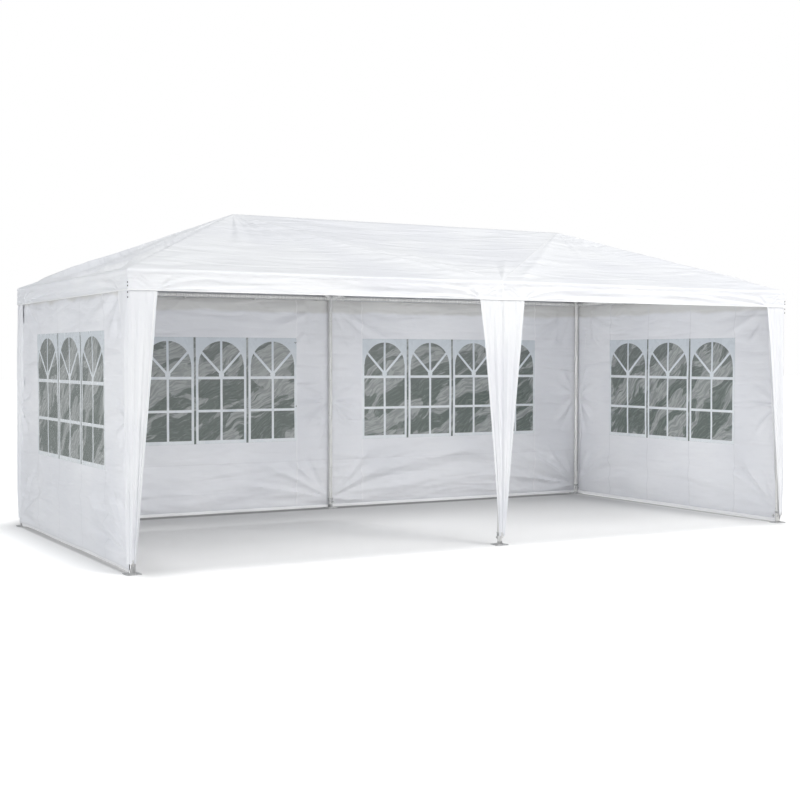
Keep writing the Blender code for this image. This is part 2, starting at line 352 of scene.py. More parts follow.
class Finish:
    """A material whose nodes are added one line at a time."""

    def __init__(self, name):
        self.material = bpy.data.materials.new(name)
        self.material.use_nodes = True
        self.tree = self.material.node_tree
        self.shader = self.tree.nodes["Principled BSDF"]
        self.count = 0

    def node(self, kind, inputs=None, **settings):
        made = self.tree.nodes.new("ShaderNode" + kind)
        made.location = (-220 * (self.count // 6 + 1), -220 * (self.count % 6))
        self.count += 1
        for key, value in settings.items():
            setattr(made, key, value)
        for key, value in (inputs or {}).items():
            socket = made.inputs[key]
            if isinstance(value, bpy.types.NodeSocket):
                self.tree.links.new(value, socket)
            else:
                socket.default_value = value
        return made

    def math(self, operation, *values):
        return self.node("Math", dict(enumerate(values)), operation=operation).outputs[0]

    def ramp(self, fac, low, high, start=0.0, end=1.0):
        return self.node(
            "MapRange",
            {"Value": fac, "From Min": low, "From Max": high, "To Min": start, "To Max": end},
            interpolation_type="SMOOTHSTEP",
        ).outputs[0]

    def blend(self, fac, first, second):
        made = self.node("Mix", data_type="RGBA")
        for socket, value in ((0, fac), (6, first), (7, second)):
            if isinstance(value, bpy.types.NodeSocket):
                self.tree.links.new(value, made.inputs[socket])
            else:
                made.inputs[socket].default_value = value if socket == 0 else (*value, 1.0)
        return made.outputs[2]

    def place(self, source, scale, turn=(0, 0, 0)):
        return self.node(
            "Mapping", {"Vector": source, "Scale": scale, "Rotation": turn}
        ).outputs[0]

    def clouds(self, where, scale, detail, distortion=0.0, roughness=0.5):
        return self.node(
            "TexNoise",
            {"Vector": where, "Scale": scale, "Detail": detail, "Distortion": distortion,
             "Roughness": roughness},
        ).outputs[0]

    def bend(self, where, scale, detail, amount):
        """Coordinates that drift to and fro, so a pattern on them isn't straight."""
        drift = self.node(
            "TexNoise", {"Vector": where, "Scale": scale, "Detail": detail}).outputs[1]
        return self.node(
            "VectorMath", {0: drift, 1: (amount, amount, 0.0), 2: where}, operation="MULTIPLY_ADD"
        ).outputs[0]

    def height(self, place):
        return self.node("SeparateXYZ", {"Vector": place}).outputs[2]

    def bump(self, height, distance, strength=1.0, below=None):
        inputs = {"Height": height, "Distance": distance, "Strength": strength}
        if below is not None:
            inputs["Normal"] = below
        return self.node("Bump", inputs).outputs[0]

    def link(self, value, socket):
        self.tree.links.new(value, self.shader.inputs[socket])

    def fix(self, **numbers):
        for key, value in numbers.items():
            self.shader.inputs[key.replace("_", " ")].default_value = value
        return self.material


def woven_cloth(name, colour, shade, rough_relief, soft_relief, seam_painted_highlight, valance_painted_shade=None):
    """Woven polyethylene tape with a smooth coating.

    Its attribute seam is 1 on a sewn seam and -1 in a sharp crease: a small ridge in the relief,
    and in the colour a painted highlight on seams and hems and painted shade in creases.
    The last colour, where given, is painted shade of the valance on a wall's top.
    """
    finish = Finish(name)
    flat = finish.node("UVMap", uv_map="cut").outputs[0]
    place = finish.node("TexCoord").outputs["Object"]
    sewn = finish.node("Attribute", attribute_name="seam").outputs["Fac"]

    broad = finish.clouds(place, 1.3, 1.0)
    fine = finish.clouds(finish.place(flat, (1.0, 7.0, 1.0)), 5.0, 2.0, 0.3, 0.6)
    drawn_out = finish.place(flat, (1.0, 6.0, 1.0), (0.0, 0.0, 0.06))
    long_folds = finish.clouds(drawn_out, 1.4, 1.0, 0.9, 0.45)
    bent = finish.place(finish.bend(flat, 2.6, 1.0, 0.26), (2.4, 5.5, 1.0), (0.0, 0.0, 0.25))
    crumple = finish.node(
        "TexVoronoi", {"Vector": bent, "Scale": 1.0}, feature="DISTANCE_TO_EDGE").outputs[0]
    warp = finish.node("TexWave", {"Vector": flat, "Scale": 130.0}, bands_direction="X").outputs[1]
    weft = finish.node("TexWave", {"Vector": flat, "Scale": 130.0}, bands_direction="Y").outputs[1]
    weave = finish.math("MULTIPLY", warp, weft)

    tone = finish.blend(finish.ramp(broad, 0.35, 0.65), colour, shade)
    tone = finish.blend(finish.ramp(fine, 0.45, 0.75, 0.0, 0.35), tone, shade)
    tone = finish.blend(finish.math("MULTIPLY", weave, 0.06), tone, shade)
    # painted shade of the valance: a wall darkens above a wavy line near its top
    if valance_painted_shade is not None:
        waves = finish.clouds(place, 2.6, 2.0)
        wavy = finish.math("MULTIPLY_ADD", waves, 0.09, finish.height(place))
        tone = finish.blend(finish.ramp(wavy, 1.945, 1.985), tone, valance_painted_shade)
    # painted highlight: the cloth is lightened where the seam attribute is above 0, on seams and
    # hems
    tone = finish.blend(finish.ramp(sewn, 0.0, 1.0, 0.0, 0.85), tone, seam_painted_highlight)
    # painted shade: the cloth is darkened where the seam attribute is below 0, in creases
    crease_painted_shade = tuple(c * 0.88 for c in shade)
    tone = finish.blend(finish.ramp(sewn, -1.0, 0.0, 0.9, 0.0), tone, crease_painted_shade)
    finish.link(tone, "Base Color")
    finish.link(finish.ramp(fine, 0.3, 0.7, 0.46, 0.60), "Roughness")

    # each height in metres, all in one relief
    rise = finish.math("MULTIPLY", weave, 0.00008)
    for part, height in ((fine, rough_relief), (long_folds, soft_relief),
                         (crumple, 0.35 * soft_relief), (sewn, 0.0020)):
        rise = finish.math("MULTIPLY_ADD", part, height, rise)
    finish.link(finish.bump(rise, 1.0), "Normal")
    return finish.fix(Sheen_Weight=0.08, Sheen_Roughness=0.4)


def window_print(name, colour, shade):
    """White ink printed on the clear sheet, darker towards its top."""
    finish = Finish(name)
    place = finish.node("TexCoord").outputs["Object"]
    cloudy = finish.clouds(place, 9.0, 5.0, 0.6, 0.6)
    grain = finish.clouds(place, 260.0, 2.0)
    # the print darkens towards its top
    level = finish.math("MULTIPLY_ADD", cloudy, 0.20, finish.height(place))
    darker_up = finish.ramp(level, 1.30, 1.75, 0.0, 0.75)
    tone = finish.blend(darker_up, colour, shade)
    tone = finish.blend(finish.ramp(cloudy, 0.40, 0.75, 0.0, 0.5), tone, shade)
    tone = finish.blend(finish.ramp(grain, 0.5, 0.8, 0.0, 0.2), tone, shade)
    finish.link(tone, "Base Color")
    finish.link(finish.ramp(cloudy, 0.3, 0.7, 0.22, 0.38), "Roughness")
    finish.link(finish.bump(cloudy, 0.010, 0.5), "Normal")
    return finish.fix(Coat_Weight=0.3, Coat_Roughness=0.15)


def clear_film(name, colour, painted_reflection, tint):
    """Soft clear sheet: dark where one looks through, with ruffled pale patches of painted
    reflection.
    """
    finish = Finish(name)
    flat = finish.node("UVMap", uv_map="cut").outputs[0]
    height = finish.height(finish.node("TexCoord").outputs["Object"])
    bent = finish.bend(flat, 2.3, 2.0, 0.30)
    broad = finish.clouds(finish.place(bent, (1.0, 3.2, 1.0)), 1.5, 4.0, 0.9, 0.56)
    ruffle = finish.clouds(finish.place(bent, (3.0, 19.0, 1.0)), 2.6, 2.0, 0.5, 0.6)
    smaller = finish.clouds(finish.place(bent, (2.4, 11.0, 1.0)), 2.2, 3.0, 0.8, 0.62)
    # more of the painted reflections lie in the upper half
    level = finish.math("MULTIPLY_ADD", finish.ramp(height, 0.75, 1.45), 0.045, broad)
    pale = finish.math(
        "MULTIPLY", finish.ramp(level, 0.522, 0.555), finish.ramp(ruffle, 0.38, 0.58, 0.60, 1.0))
    # smaller pale marks, also painted reflection
    marks = finish.ramp(smaller, 0.575, 0.640, 0.0, 0.30)
    upper = finish.ramp(finish.math("MULTIPLY_ADD", broad, 0.5, height), 1.30, 1.75)
    tone = finish.blend(upper, tint, colour)
    tone = finish.blend(finish.math("MAXIMUM", pale, marks), tone, painted_reflection)
    # painted highlight: narrow bright lines on the sharpest ruffles
    line = finish.ramp(ruffle, 0.66, 0.74, 0.0, 0.30)
    tone = finish.blend(line, tone, tuple(min(1.0, c * 1.5) for c in painted_reflection))
    finish.link(tone, "Base Color")
    finish.link(finish.ramp(ruffle, 0.3, 0.7, 0.16, 0.34), "Roughness")
    rise = finish.math("MULTIPLY_ADD", ruffle, 0.004, finish.math("MULTIPLY", level, 0.012))
    finish.link(finish.bump(rise, 1.0), "Normal")
    return finish.fix(Alpha=0.94, Coat_Weight=0.15, Coat_Roughness=0.15)


def coated_steel(name, colour, shade, metal, rough):
    """Powder coated or zinc plated steel with faint runs and rubbed spots."""
    finish = Finish(name)
    place = finish.node("TexCoord").outputs["Object"]
    speckle = finish.clouds(place, 240.0, 3.0)
    runs = finish.clouds(finish.place(place, (1.0, 1.0, 0.12)), 60.0, 4.0, 0.4)
    marks = finish.clouds(place, 14.0, 6.0, 1.0, 0.65)
    tone = finish.blend(finish.ramp(runs, 0.35, 0.7), colour, shade)
    tone = finish.blend(finish.ramp(marks, 0.56, 0.72, 0.0, 0.55), tone, shade)
    finish.link(tone, "Base Color")
    finish.link(finish.ramp(marks, 0.3, 0.7, rough - 0.08, rough + 0.12), "Roughness")
    normal = finish.bump(speckle, 0.0004, 0.3)
    finish.link(finish.bump(marks, 0.001, 0.2, normal), "Normal")
    return finish.fix(Metallic=metal)


def tie_webbing(name, colour, shade):
    """Narrow woven tape and cord, with slanting strands."""
    finish = Finish(name)
    place = finish.node("TexCoord").outputs["Object"]
    strands = finish.node(
        "TexWave", {"Vector": place, "Scale": 180.0, "Distortion": 1.0}, bands_direction="DIAGONAL"
    ).outputs[1]
    worn = finish.clouds(place, 40.0, 3.0)
    tone = finish.blend(finish.ramp(strands, 0.2, 0.8, 0.0, 0.5), colour, shade)
    tone = finish.blend(finish.ramp(worn, 0.5, 0.8, 0.0, 0.4), tone, shade)
    finish.link(tone, "Base Color")
    finish.link(finish.ramp(worn, 0.3, 0.7, 0.7, 0.85), "Roughness")
    finish.link(finish.bump(strands, 0.0006, 0.6), "Normal")
    return finish.fix(Sheen_Weight=0.2)


def studio_floor(name, colour):
    """Pale floor with painted shadow under the tent and along the walls' feet, and a camera-only
    glow that makes it white all round the tent.
    """
    finish = Finish(name)
    place = finish.node("TexCoord").outputs["Object"]
    x, y = finish.node("SeparateXYZ", {"Vector": place}).outputs[:2]

    def size_of(value, less=0.0):
        return finish.math("ABSOLUTE", finish.math("SUBTRACT", value, less) if less else value)

    mottle = finish.clouds(place, 0.8, 3.0)
    tone = finish.blend(mottle, colour, tuple(c * 0.985 for c in colour))
    inside = finish.ramp(size_of(x), 2.9, 3.1, 1.0, 0.0)
    # painted shadow: the floor darkens towards the back under the tent
    back = finish.math("MULTIPLY", inside, finish.ramp(y, -0.2, 1.5, 0.0, 0.24))
    tone = finish.blend(back, tone, (0.05, 0.05, 0.05))

    # painted shadow: the thin dark line where a wall nearly meets the floor, and its soft edge
    # inside
    off_end = size_of(size_of(x), HALF_LENGTH)
    off_back = size_of(y, HALF_WIDTH)
    beside = finish.ramp(size_of(y), HALF_WIDTH, HALF_WIDTH + 0.04, 1.0, 0.0)
    line = finish.math(
        "MAXIMUM",
        finish.math("MULTIPLY", finish.ramp(off_end, 0.02, 0.06, 0.5, 0.0), beside),
        finish.math("MULTIPLY", finish.ramp(off_back, 0.03, 0.13, 0.6, 0.0), inside))
    painted_soft_shadow = finish.math("MULTIPLY", finish.ramp(off_end, 0.02, 0.50, 0.20, 0.0), inside)
    line = finish.math("MAXIMUM", line, painted_soft_shadow)
    finish.link(finish.blend(line, tone, (0.03, 0.03, 0.03)), "Base Color")

    # the white round the tent is for the camera only and lights nothing
    squares = []
    for part, half in ((x, HALF_LENGTH - 0.20), (y, HALF_WIDTH - 0.12)):
        off = finish.math("MAXIMUM", finish.math("SUBTRACT", size_of(part), half), 0.0)
        squares.append(finish.math("MULTIPLY", off, off))
    outside = finish.math("SQRT", finish.math("ADD", *squares))
    seen = finish.node("LightPath").outputs["Is Camera Ray"]
    glow = finish.math("MULTIPLY", seen, finish.ramp(outside, 0.0, 0.80, 0.0, 0.80))
    finish.link(glow, "Emission Strength")
    finish.shader.inputs["Emission Color"].default_value = (1, 1, 1, 1)
    return finish.fix(Roughness=0.9, Specular_IOR_Level=0.1)


# Settings ----------------------------------------------------------------


class MarqueeSizes(bpy.types.PropertyGroup):
    """Sizes of the fabric that the frame doesn't fix."""

    roof_sag: bpy.props.FloatProperty(
        name="Roof sag", description="How far the cover sags between two rafters",
        default=0.024, min=0.0, max=0.05, unit="LENGTH")
    fold_depth: bpy.props.FloatProperty(
        name="Fold depth", description="Depth of the folds that fan out from each tie",
        default=0.010, min=0.0, max=0.02, unit="LENGTH")
    wall_bulge: bpy.props.FloatProperty(
        name="Wall bulge", description="How far a wall bellies inwards between two legs",
        default=0.012, min=0.0, max=0.03, unit="LENGTH")
    hem_width: bpy.props.FloatProperty(
        name="Hem width", description="Width of the sewn hems",
        default=0.020, min=0.01, max=0.04, unit="LENGTH")
    cloth_thickness: bpy.props.FloatProperty(
        name="Cloth thickness", description="Thickness of the woven sheet",
        default=0.0008, min=0.0004, max=0.002, unit="LENGTH")
    camera_lens: bpy.props.FloatProperty(
        name="Camera lens", description="Focal length on a sensor 36 mm wide",
        default=60.3, min=20.0, max=200.0, unit="CAMERA")


def colour_setting(name, description, default):
    return bpy.props.FloatVectorProperty(
        name=name, description=description, default=default, size=3, min=0.0, max=1.0,
        subtype="COLOR")


class MarqueeColours(bpy.types.PropertyGroup):
    """Colours of the fabric, the windows and the steel."""

    cover: colour_setting("Cover", "Roof cover, valance and drapes", (0.875, 0.885, 0.905))
    cover_shade: colour_setting("Cover shade", "Darker spots of the cover", (0.825, 0.835, 0.87))
    wall: colour_setting("Wall", "Wall fabric", (0.845, 0.853, 0.882))
    wall_shade: colour_setting("Wall shade", "Darker spots of a wall", (0.79, 0.80, 0.836))
    # painted shade of the valance on the top of a wall
    wall_top_painted_shade: colour_setting("Wall top", "Top of a wall, behind the valance", (0.69, 0.69, 0.68))
    ink: colour_setting("Window print", "Printed window frames", (0.82, 0.85, 0.875))
    # the darker print tone, in random spots and towards the top of each window
    ink_shade: colour_setting("Print shade", "Thin spots of the print", (0.58, 0.63, 0.68))
    film: colour_setting("Window film", "Clear sheet where it looks dark", (0.185, 0.206, 0.198))
    film_tint: colour_setting("Film tint", "Greener lower part of the sheet", (0.150, 0.178, 0.164))
    # painted reflection: pale patches standing in for what the clear sheet reflects
    film_painted_reflection: colour_setting(
        "Film patches", "Pale patches of the clear sheet", (0.385, 0.405, 0.400))
    tube: colour_setting("Tubes", "Coated steel tubes", (0.80, 0.80, 0.79))
    tube_shade: colour_setting("Tube shade", "Dull streaks on a tube", (0.66, 0.66, 0.65))
    fitting: colour_setting("Fittings", "Coated corner fittings", (0.78, 0.78, 0.77))
    foot: colour_setting("Feet", "Zinc plated base plates", (0.42, 0.425, 0.43))
    fitting_shade: colour_setting("Fitting shade", "Dull spots on a fitting", (0.60, 0.60, 0.60))
    tie: colour_setting("Ties", "Tape and cord of the ties", (0.80, 0.80, 0.79))
    tie_shade: colour_setting("Tie shade", "Between the strands", (0.55, 0.55, 0.54))
    toggle: colour_setting("Toggles", "Beads that lace the corners", (0.035, 0.035, 0.038))
    toggle_shade: colour_setting("Toggle shade", "Rubbed spots of a bead", (0.07, 0.07, 0.07))


def sizes():
    return bpy.context.scene.marquee_sizes


def colours():
    return bpy.context.scene.marquee_colours


def finish_named(name, make, *settings):
    """The material of that name, made where it is first needed."""
    return bpy.data.materials.get(name) or make(name, *settings)


def cover_material():
    tone = colours()
    # its pale colour is a painted highlight on the rafter seams, the hems and the drapes' seams
    return finish_named(
        "cover_cloth", woven_cloth, tone.cover, tone.cover_shade, 0.007, 0.020, (0.965, 0.97, 0.98))


def wall_material():
    tone = colours()
    # its pale colour is a painted highlight on seams and the hem roll
    return finish_named(
        "wall_cloth", woven_cloth, tone.wall, tone.wall_shade, 0.002, 0.024, (0.97, 0.97, 0.98),
        tone.wall_top_painted_shade)


def fitting_material():
    return finish_named(
        "fitting_zinc", coated_steel, colours().fitting, colours().fitting_shade, 0.15, 0.38)


def foot_material():
    return finish_named(
        "foot_zinc", coated_steel, colours().foot, colours().fitting_shade, 0.6, 0.36)


def tie_material():
    return finish_named("tie_webbing", tie_webbing, colours().tie, colours().tie_shade)


# Roof cover --------------------------------------------------------------

EAVE_ROUND = 0.018      # radius of the cover where it turns over the rail
ROLL_OUT = 0.003        # how far that roll stands proud of the valance
LONG_RISE = (RIDGE_HEIGHT - EAVE_HEIGHT) / COVER_Y
END_RISE = (RIDGE_HEIGHT - EAVE_HEIGHT) / (COVER_X - RIDGE_HALF)
TURN = math.pi / 2 - math.atan(LONG_RISE)
SLOPE_EDGE = EAVE_ROUND * (1 - math.cos(TURN)) - ROLL_OUT
SLOPE_LENGTH = math.hypot(COVER_Y, RIDGE_HEIGHT - EAVE_HEIGHT)
RAFTER_ROUND = 0.006    # how much the cover is rounded where two slopes meet
SLOPE_ROWS = 48
# Columns of the cover: closer together within a band beside a corner or a peak
CORNER_BAND, CORNER_STEP, EAVE_STEP = 0.30, 0.0120, 0.054
PEAK_BAND, PEAK_STEP, RIDGE_STEP = 0.20, 0.025, 0.055
END_SAG = 1.8           # the end slopes sag this much more than the long ones

# Folds of a slope, as in fan: across, up, share of the fold depth
CORNER_SPOKES = (
    (0.55, 0.10, 0.7), (1.05, 0.26, 0.9), (0.95, 0.50, -0.7), (0.75, 0.66, 0.45),
    (1.35, 0.12, -0.6), (0.42, 0.32, -0.6))
PEAK_SPOKES = (
    (0.10, -0.62, 0.9), (0.26, -0.85, -0.8), (0.45, -0.95, 0.9), (0.72, -0.80, -0.8),
    (0.95, -0.62, 0.8))
MIDDLE_PEAK_SPOKES = (
    (0.16, -0.40, 0.9), (0.42, -0.55, -0.8), (0.75, -0.52, 0.9), (1.05, -0.36, -0.7),
    (1.30, -0.16, 0.8))
MIDDLE_LEG_SPOKES = ((0.30, 0.62, 0.7), (0.62, 0.78, -0.7))

# Waves of the valance beside each drape: how far, how high, bend, depth, width
VALANCE_WAVES = (
    (0.10, 0.112, 1.1, 0.0055, 0.007), (0.26, 0.098, 2.2, -0.0085, 0.013),
    (0.55, 0.080, 2.6, 0.0100, 0.016), (0.95, 0.048, 2.0, -0.0105, 0.017),
    (1.25, 0.070, 1.6, 0.0070, 0.018), (0.55, 0.010, 1.0, 0.0075, 0.013))
# Rows of the valance above its hem: height, and how far the row stands out
VALANCE_HEAD = ((2.056, 0.0024), (2.048, 0.0004), (2.041, 0.0002))


def roof_height(x, y):
    """Height of the taut cover, a little round over the rafters."""
    sides = smooth_min(
        RIDGE_HEIGHT + LONG_RISE * y, RIDGE_HEIGHT - LONG_RISE * y, RAFTER_ROUND)
    ends = RIDGE_HEIGHT - END_RISE * (np.abs(x) - RIDGE_HALF)
    return smooth_min(sides, ends, RAFTER_ROUND)


def roof_slack(s, v, depth):
    """How far the cover sags below its taut shape between three supports."""
    def soften(part):
        return part * part / (part + 0.008)

    return depth * 27 * soften(1 - v) * soften(v * (1 - s)) * soften(v * s) / 0.70


def fade_edges(s, v, side, top, bottom):
    """0 along the four edges of a slope and 1 inside, so its seams stay straight."""
    return (ease(0.0, side, s) * ease(0.0, side, 1 - s)
            * ease(0.0, bottom, 1 - v) * ease(0.0, top, v))


def slope_folds(across, up, length, peak, depth, seed):
    """Folds of one slope, from its two lower corners and from its peak.

    across runs along the eave and up runs level from the eave to the ridge.
    """
    total = fan(across, up, CORNER_SPOKES, depth, 0.060, seed, 1.5)
    total = total + fan(length - across, up, CORNER_SPOKES, depth, 0.060, seed + 1.0, 1.5)
    for side, turn in ((1, 0.0), (-1, 2.0)):
        total = total + fan(
            side * (across - peak[0]), up - peak[1], PEAK_SPOKES, depth, 0.050, seed + turn)
    total = total + 0.40 * depth * rumple_flat(across, up, (0.9, 3.6), seed * 7.3)
    return total + 0.35 * depth * rumple_flat(across, up, (2.6, 2.6), seed * 3.1)


def hip_folds(across, up, length, peak, depth, seed):
    """Long folds that run from an end eave up to the peak, side by side."""
    reach = hold(0.02, 1 - up / peak[1], 1.0)
    fraction = (across - peak[0]) / (reach * length) + 0.5
    waves = np.sin(2 * np.pi * (3.6 * fraction + 0.2 * seed + 0.12 * np.sin(4 * up)))
    waves = waves + 0.8 * np.sin(2 * np.pi * (8.3 * fraction + 0.31 * seed))
    waves = waves + 0.5 * np.sin(2 * np.pi * (14.7 * fraction + 0.17 * seed))
    # a shallow trough on each side, along the hip
    beside = np.minimum(fraction, 1 - fraction) * reach * length
    trough = np.exp(-(((beside - 0.070) / 0.040) ** 2)) * hold(0.0, reach * 5, 1.0)
    waves = waves - 0.3 * trough
    narrow = hold(0.0, reach * 1.6, 1.0) * 2.4
    return depth * narrow * (0.8 * waves + 0.6 * rumple_flat(across, up, (3.0, 1.0), seed))


def valance_folds(along, length, z, middle, seed):
    """How far the valance stands out, from the folds pulled by the drapes."""
    above = z - VALANCE_BOTTOM - 0.012
    top = EAVE_HEIGHT - 0.014 - VALANCE_BOTTOM - 0.012
    folds = 0.0068 * rumple_flat(along, z, (0.75, 11.0), 11.0 + seed, 2)
    folds = folds + 0.0018 * rumple_flat(along, z, (3.0, 9.0), 5.0 + seed)
    spots = [(0.0, CORNER_DRAPE_TOP), (length, CORNER_DRAPE_TOP)]
    if middle:
        spots.append((length / 2, MIDDLE_DRAPE_TOP))
    for number, (spot, reach) in enumerate(spots):
        off = np.abs(along - spot)
        turn = seed + 1.7 * number
        past = off - reach
        # between the leg and the end of its drape the valance is pulled flat
        folds = folds * ease(-0.02, 0.10, past)
        for far, rise, power, depth, width in VALANCE_WAVES:
            far = far * (1 + 0.18 * math.sin(turn + 9 * far))
            folds = folds + sweep(past, above, (0.0, 0.0), (far, rise), power, depth, width)
        # sharp folds run down from the leg to the end of its drape
        for begin, end, power, depth, width in (
            ((0.004, top), (reach - 0.010, 0.002), 1.0, 0.0085, 0.0080),
            ((0.018, top), (reach - 0.004, 0.006), 1.0, -0.0075, 0.0075),
            ((0.060, top), (reach + 0.004, 0.004), 1.1, 0.0050, 0.009),
            ((0.002, 0.75 * top), (0.62 * reach, 0.0), 1.0, 0.0045, 0.007),
        ):
            folds = folds + sweep(off, above, begin, end, power, depth, width)
        # the middle one has a seam in front of its leg, and a corner is sharp
        if number == 2:
            folds = folds + 0.0018 * (1 - ease(0.013, 0.017, off))
        else:
            folds = folds * ease(0.0, 0.022, off)
    return (0.0020 + folds) * ease(0.0, 0.02, EAVE_HEIGHT - 0.035 - z)


def slope_under(start, end, pole, rows, middle_half, seed):
    """Slope above one stretch of eave, as a patch, and what its eave hangs from."""
    run = end - start
    length = float(np.hypot(*run))
    run = run / length
    out = np.array([run[1], -run[0]])
    at = steps_finer(length, CORNER_BAND, CORNER_STEP, EAVE_STEP)
    tips = start + run * at[:, None]
    # a corner is shared by two sides, so it moves out on the diagonal
    shift = np.zeros(len(at))
    if middle_half != 1:
        shift[0] = 1.0
    if middle_half != -1:
        shift[-1] = -1.0
    # the slope ends where the roll over the rail begins
    edge = tips - out * SLOPE_EDGE + np.outer(shift * SLOPE_EDGE, run)
    s, v = np.meshgrid(at / length, rows)
    plan = pole + (edge - pole)[None, :, :] * v[:, :, None]
    x, y = plan[..., 0], plan[..., 1]
    high = roof_height(x, y)
    across, up = (plan - start) @ run, -((plan - start) @ out)
    peak = ((pole - start) @ run, -((pole - start) @ out))
    depth = sizes().fold_depth
    if middle_half:
        folds = slope_folds(across, up, length, peak, depth, seed)
        # the broad fold beside the middle rafter
        beside = (1 - s if middle_half < 0 else s) * v * length
        trough = np.exp(-(((beside - 0.14 * v - 0.03) / 0.055) ** 2)) * v * ease(0.0, 0.06, beside)
        folds = folds - 1.5 * depth * trough
    else:
        folds = hip_folds(across, up, length, peak, 1.1 * depth, seed)
    fade = fade_edges(s, v, 0.09 if middle_half else 0.035, 0.10, 0.10)
    sag = sizes().roof_sag * (1.0 if middle_half else END_SAG)
    slack = roof_slack(s, v, sag) + fade * folds
    slope = np.stack([x, y, high - slack], axis=-1)
    flat = np.stack([across, v * SLOPE_LENGTH], axis=-1)
    # the rafter seams: a small ridge and a painted highlight
    seams = np.zeros(s.shape)
    if middle_half:
        seams[:, [0, -1]] = 1.0
    return (slope, flat, None, seams), (at, tips, run, out, shift, high[-1])


def roof_side(start, end, pole, rows, middle_half, seed):
    """Slope and valance under one stretch of eave, as two patches.

    start and end are corners of the cover in plan, pole is the peak that the
    slope runs up to, and middle_half says which half of a long side it is:
    -1 and 1 for the halves, 0 for an end.
    """
    start, end, pole = (np.array(p) for p in (start, end, pole))
    slope, (at, tips, run, out, shift, top) = slope_under(start, end, pole, rows, middle_half, seed)

    # the roll over the rail, then the valance down to its hem
    heights, outs = [], []
    for k in range(1, 6):
        angle = TURN * (1 - k / 5)
        heights.append(top - EAVE_ROUND * (math.sin(TURN) - math.sin(angle)))
        outs.append(ROLL_OUT - EAVE_ROUND * (1 - math.cos(angle)))
    hem = VALANCE_BOTTOM + sizes().hem_width
    profile = [*VALANCE_HEAD]
    profile += [(z, 0.0012) for z in steps_between([hem + 0.006, 2.034], 0.0075)[::-1]]
    profile += [(hem + 0.001, 0.0014), (hem - 0.001, 0.0022), (hem - 0.010, 0.0026),
                (VALANCE_BOTTOM + 0.008, 0.0028), (VALANCE_BOTTOM + 0.0005, 0.0036)]
    for z, step in profile:
        heights.append(np.full(len(at), z))
        outs.append(step)
    length = at[-1]
    total = length if middle_half == 0 else 2 * length
    along = at + (length if middle_half == 1 else 0.0)
    low = [slope[0][-1]]
    for z, step in zip(heights, outs):
        folds = valance_folds(along, total, z, middle_half != 0, seed)
        push = step + folds + 0 * at
        push = push - 0.0016 * np.abs(shift) * (z < 2.06)
        place = tips + out * push[:, None] - np.outer(shift * push, run)
        low.append(np.column_stack([place, z]))
    low = np.array(low)
    drops = np.linalg.norm(np.diff(low[:, len(at) // 2], axis=0), axis=-1)
    down = np.concatenate([[SLOPE_LENGTH], SLOPE_LENGTH + np.cumsum(drops)])
    flat = np.stack(np.broadcast_arrays(at, down[:, None]), axis=-1)
    seams = np.zeros(low.shape[:2])
    # the valance's hem and its middle seam: a small ridge and a painted highlight
    seams[low[..., 2] < VALANCE_BOTTOM + 0.009] = 1.0
    if middle_half:
        seams[:, -1 if middle_half < 0 else 0] = 1.0
    return [slope, (low, flat, None, seams)]


def roof_middle(side, rows, seed):
    """The slope between the two peaks, which narrows down to a middle leg."""
    tip = np.array((0.0, side * (COVER_Y - SLOPE_EDGE)))
    ridge_x = steps_finer(2 * RIDGE_HALF, PEAK_BAND, PEAK_STEP, RIDGE_STEP) - RIDGE_HALF
    tops = np.column_stack([ridge_x, 0 * ridge_x])
    s, v = np.meshgrid((ridge_x + RIDGE_HALF) / (2 * RIDGE_HALF), rows)
    plan = tops[None, :, :] * (1 - v[:, :, None]) + tip * v[:, :, None]
    x, y = plan[..., 0], plan[..., 1]
    depth = sizes().fold_depth
    folds = 0 * x
    for end in (-1, 1):
        folds = folds + fan(
            RIDGE_HALF + end * x, side * -y, MIDDLE_PEAK_SPOKES, depth, 0.055, seed + end)
    for end in (-1, 1):
        folds = folds + fan(
            end * x, COVER_Y - side * y, MIDDLE_LEG_SPOKES, depth, 0.05, seed + 2 * end)
    folds = folds + 0.6 * depth * rumple_flat(x, side * y, (0.9, 4.2), seed * 7.3)
    # seen from its own pole, at the middle leg, v runs the other way
    slack = roof_slack(s, 1 - v, sizes().roof_sag) + fade_edges(s, v, 0.09, 0.08, 0.10) * folds
    points = np.stack([x, y, roof_height(x, y) - slack], axis=-1)
    flat = np.stack([x + COVER_X, v * SLOPE_LENGTH], axis=-1)
    # the rafter seams: a small ridge and a painted highlight
    seams = np.zeros(s.shape)
    seams[:, [0, -1]] = 1.0
    if side < 0:
        return (points, flat, None, seams)
    return (points[:, ::-1], flat[:, ::-1], None, seams)


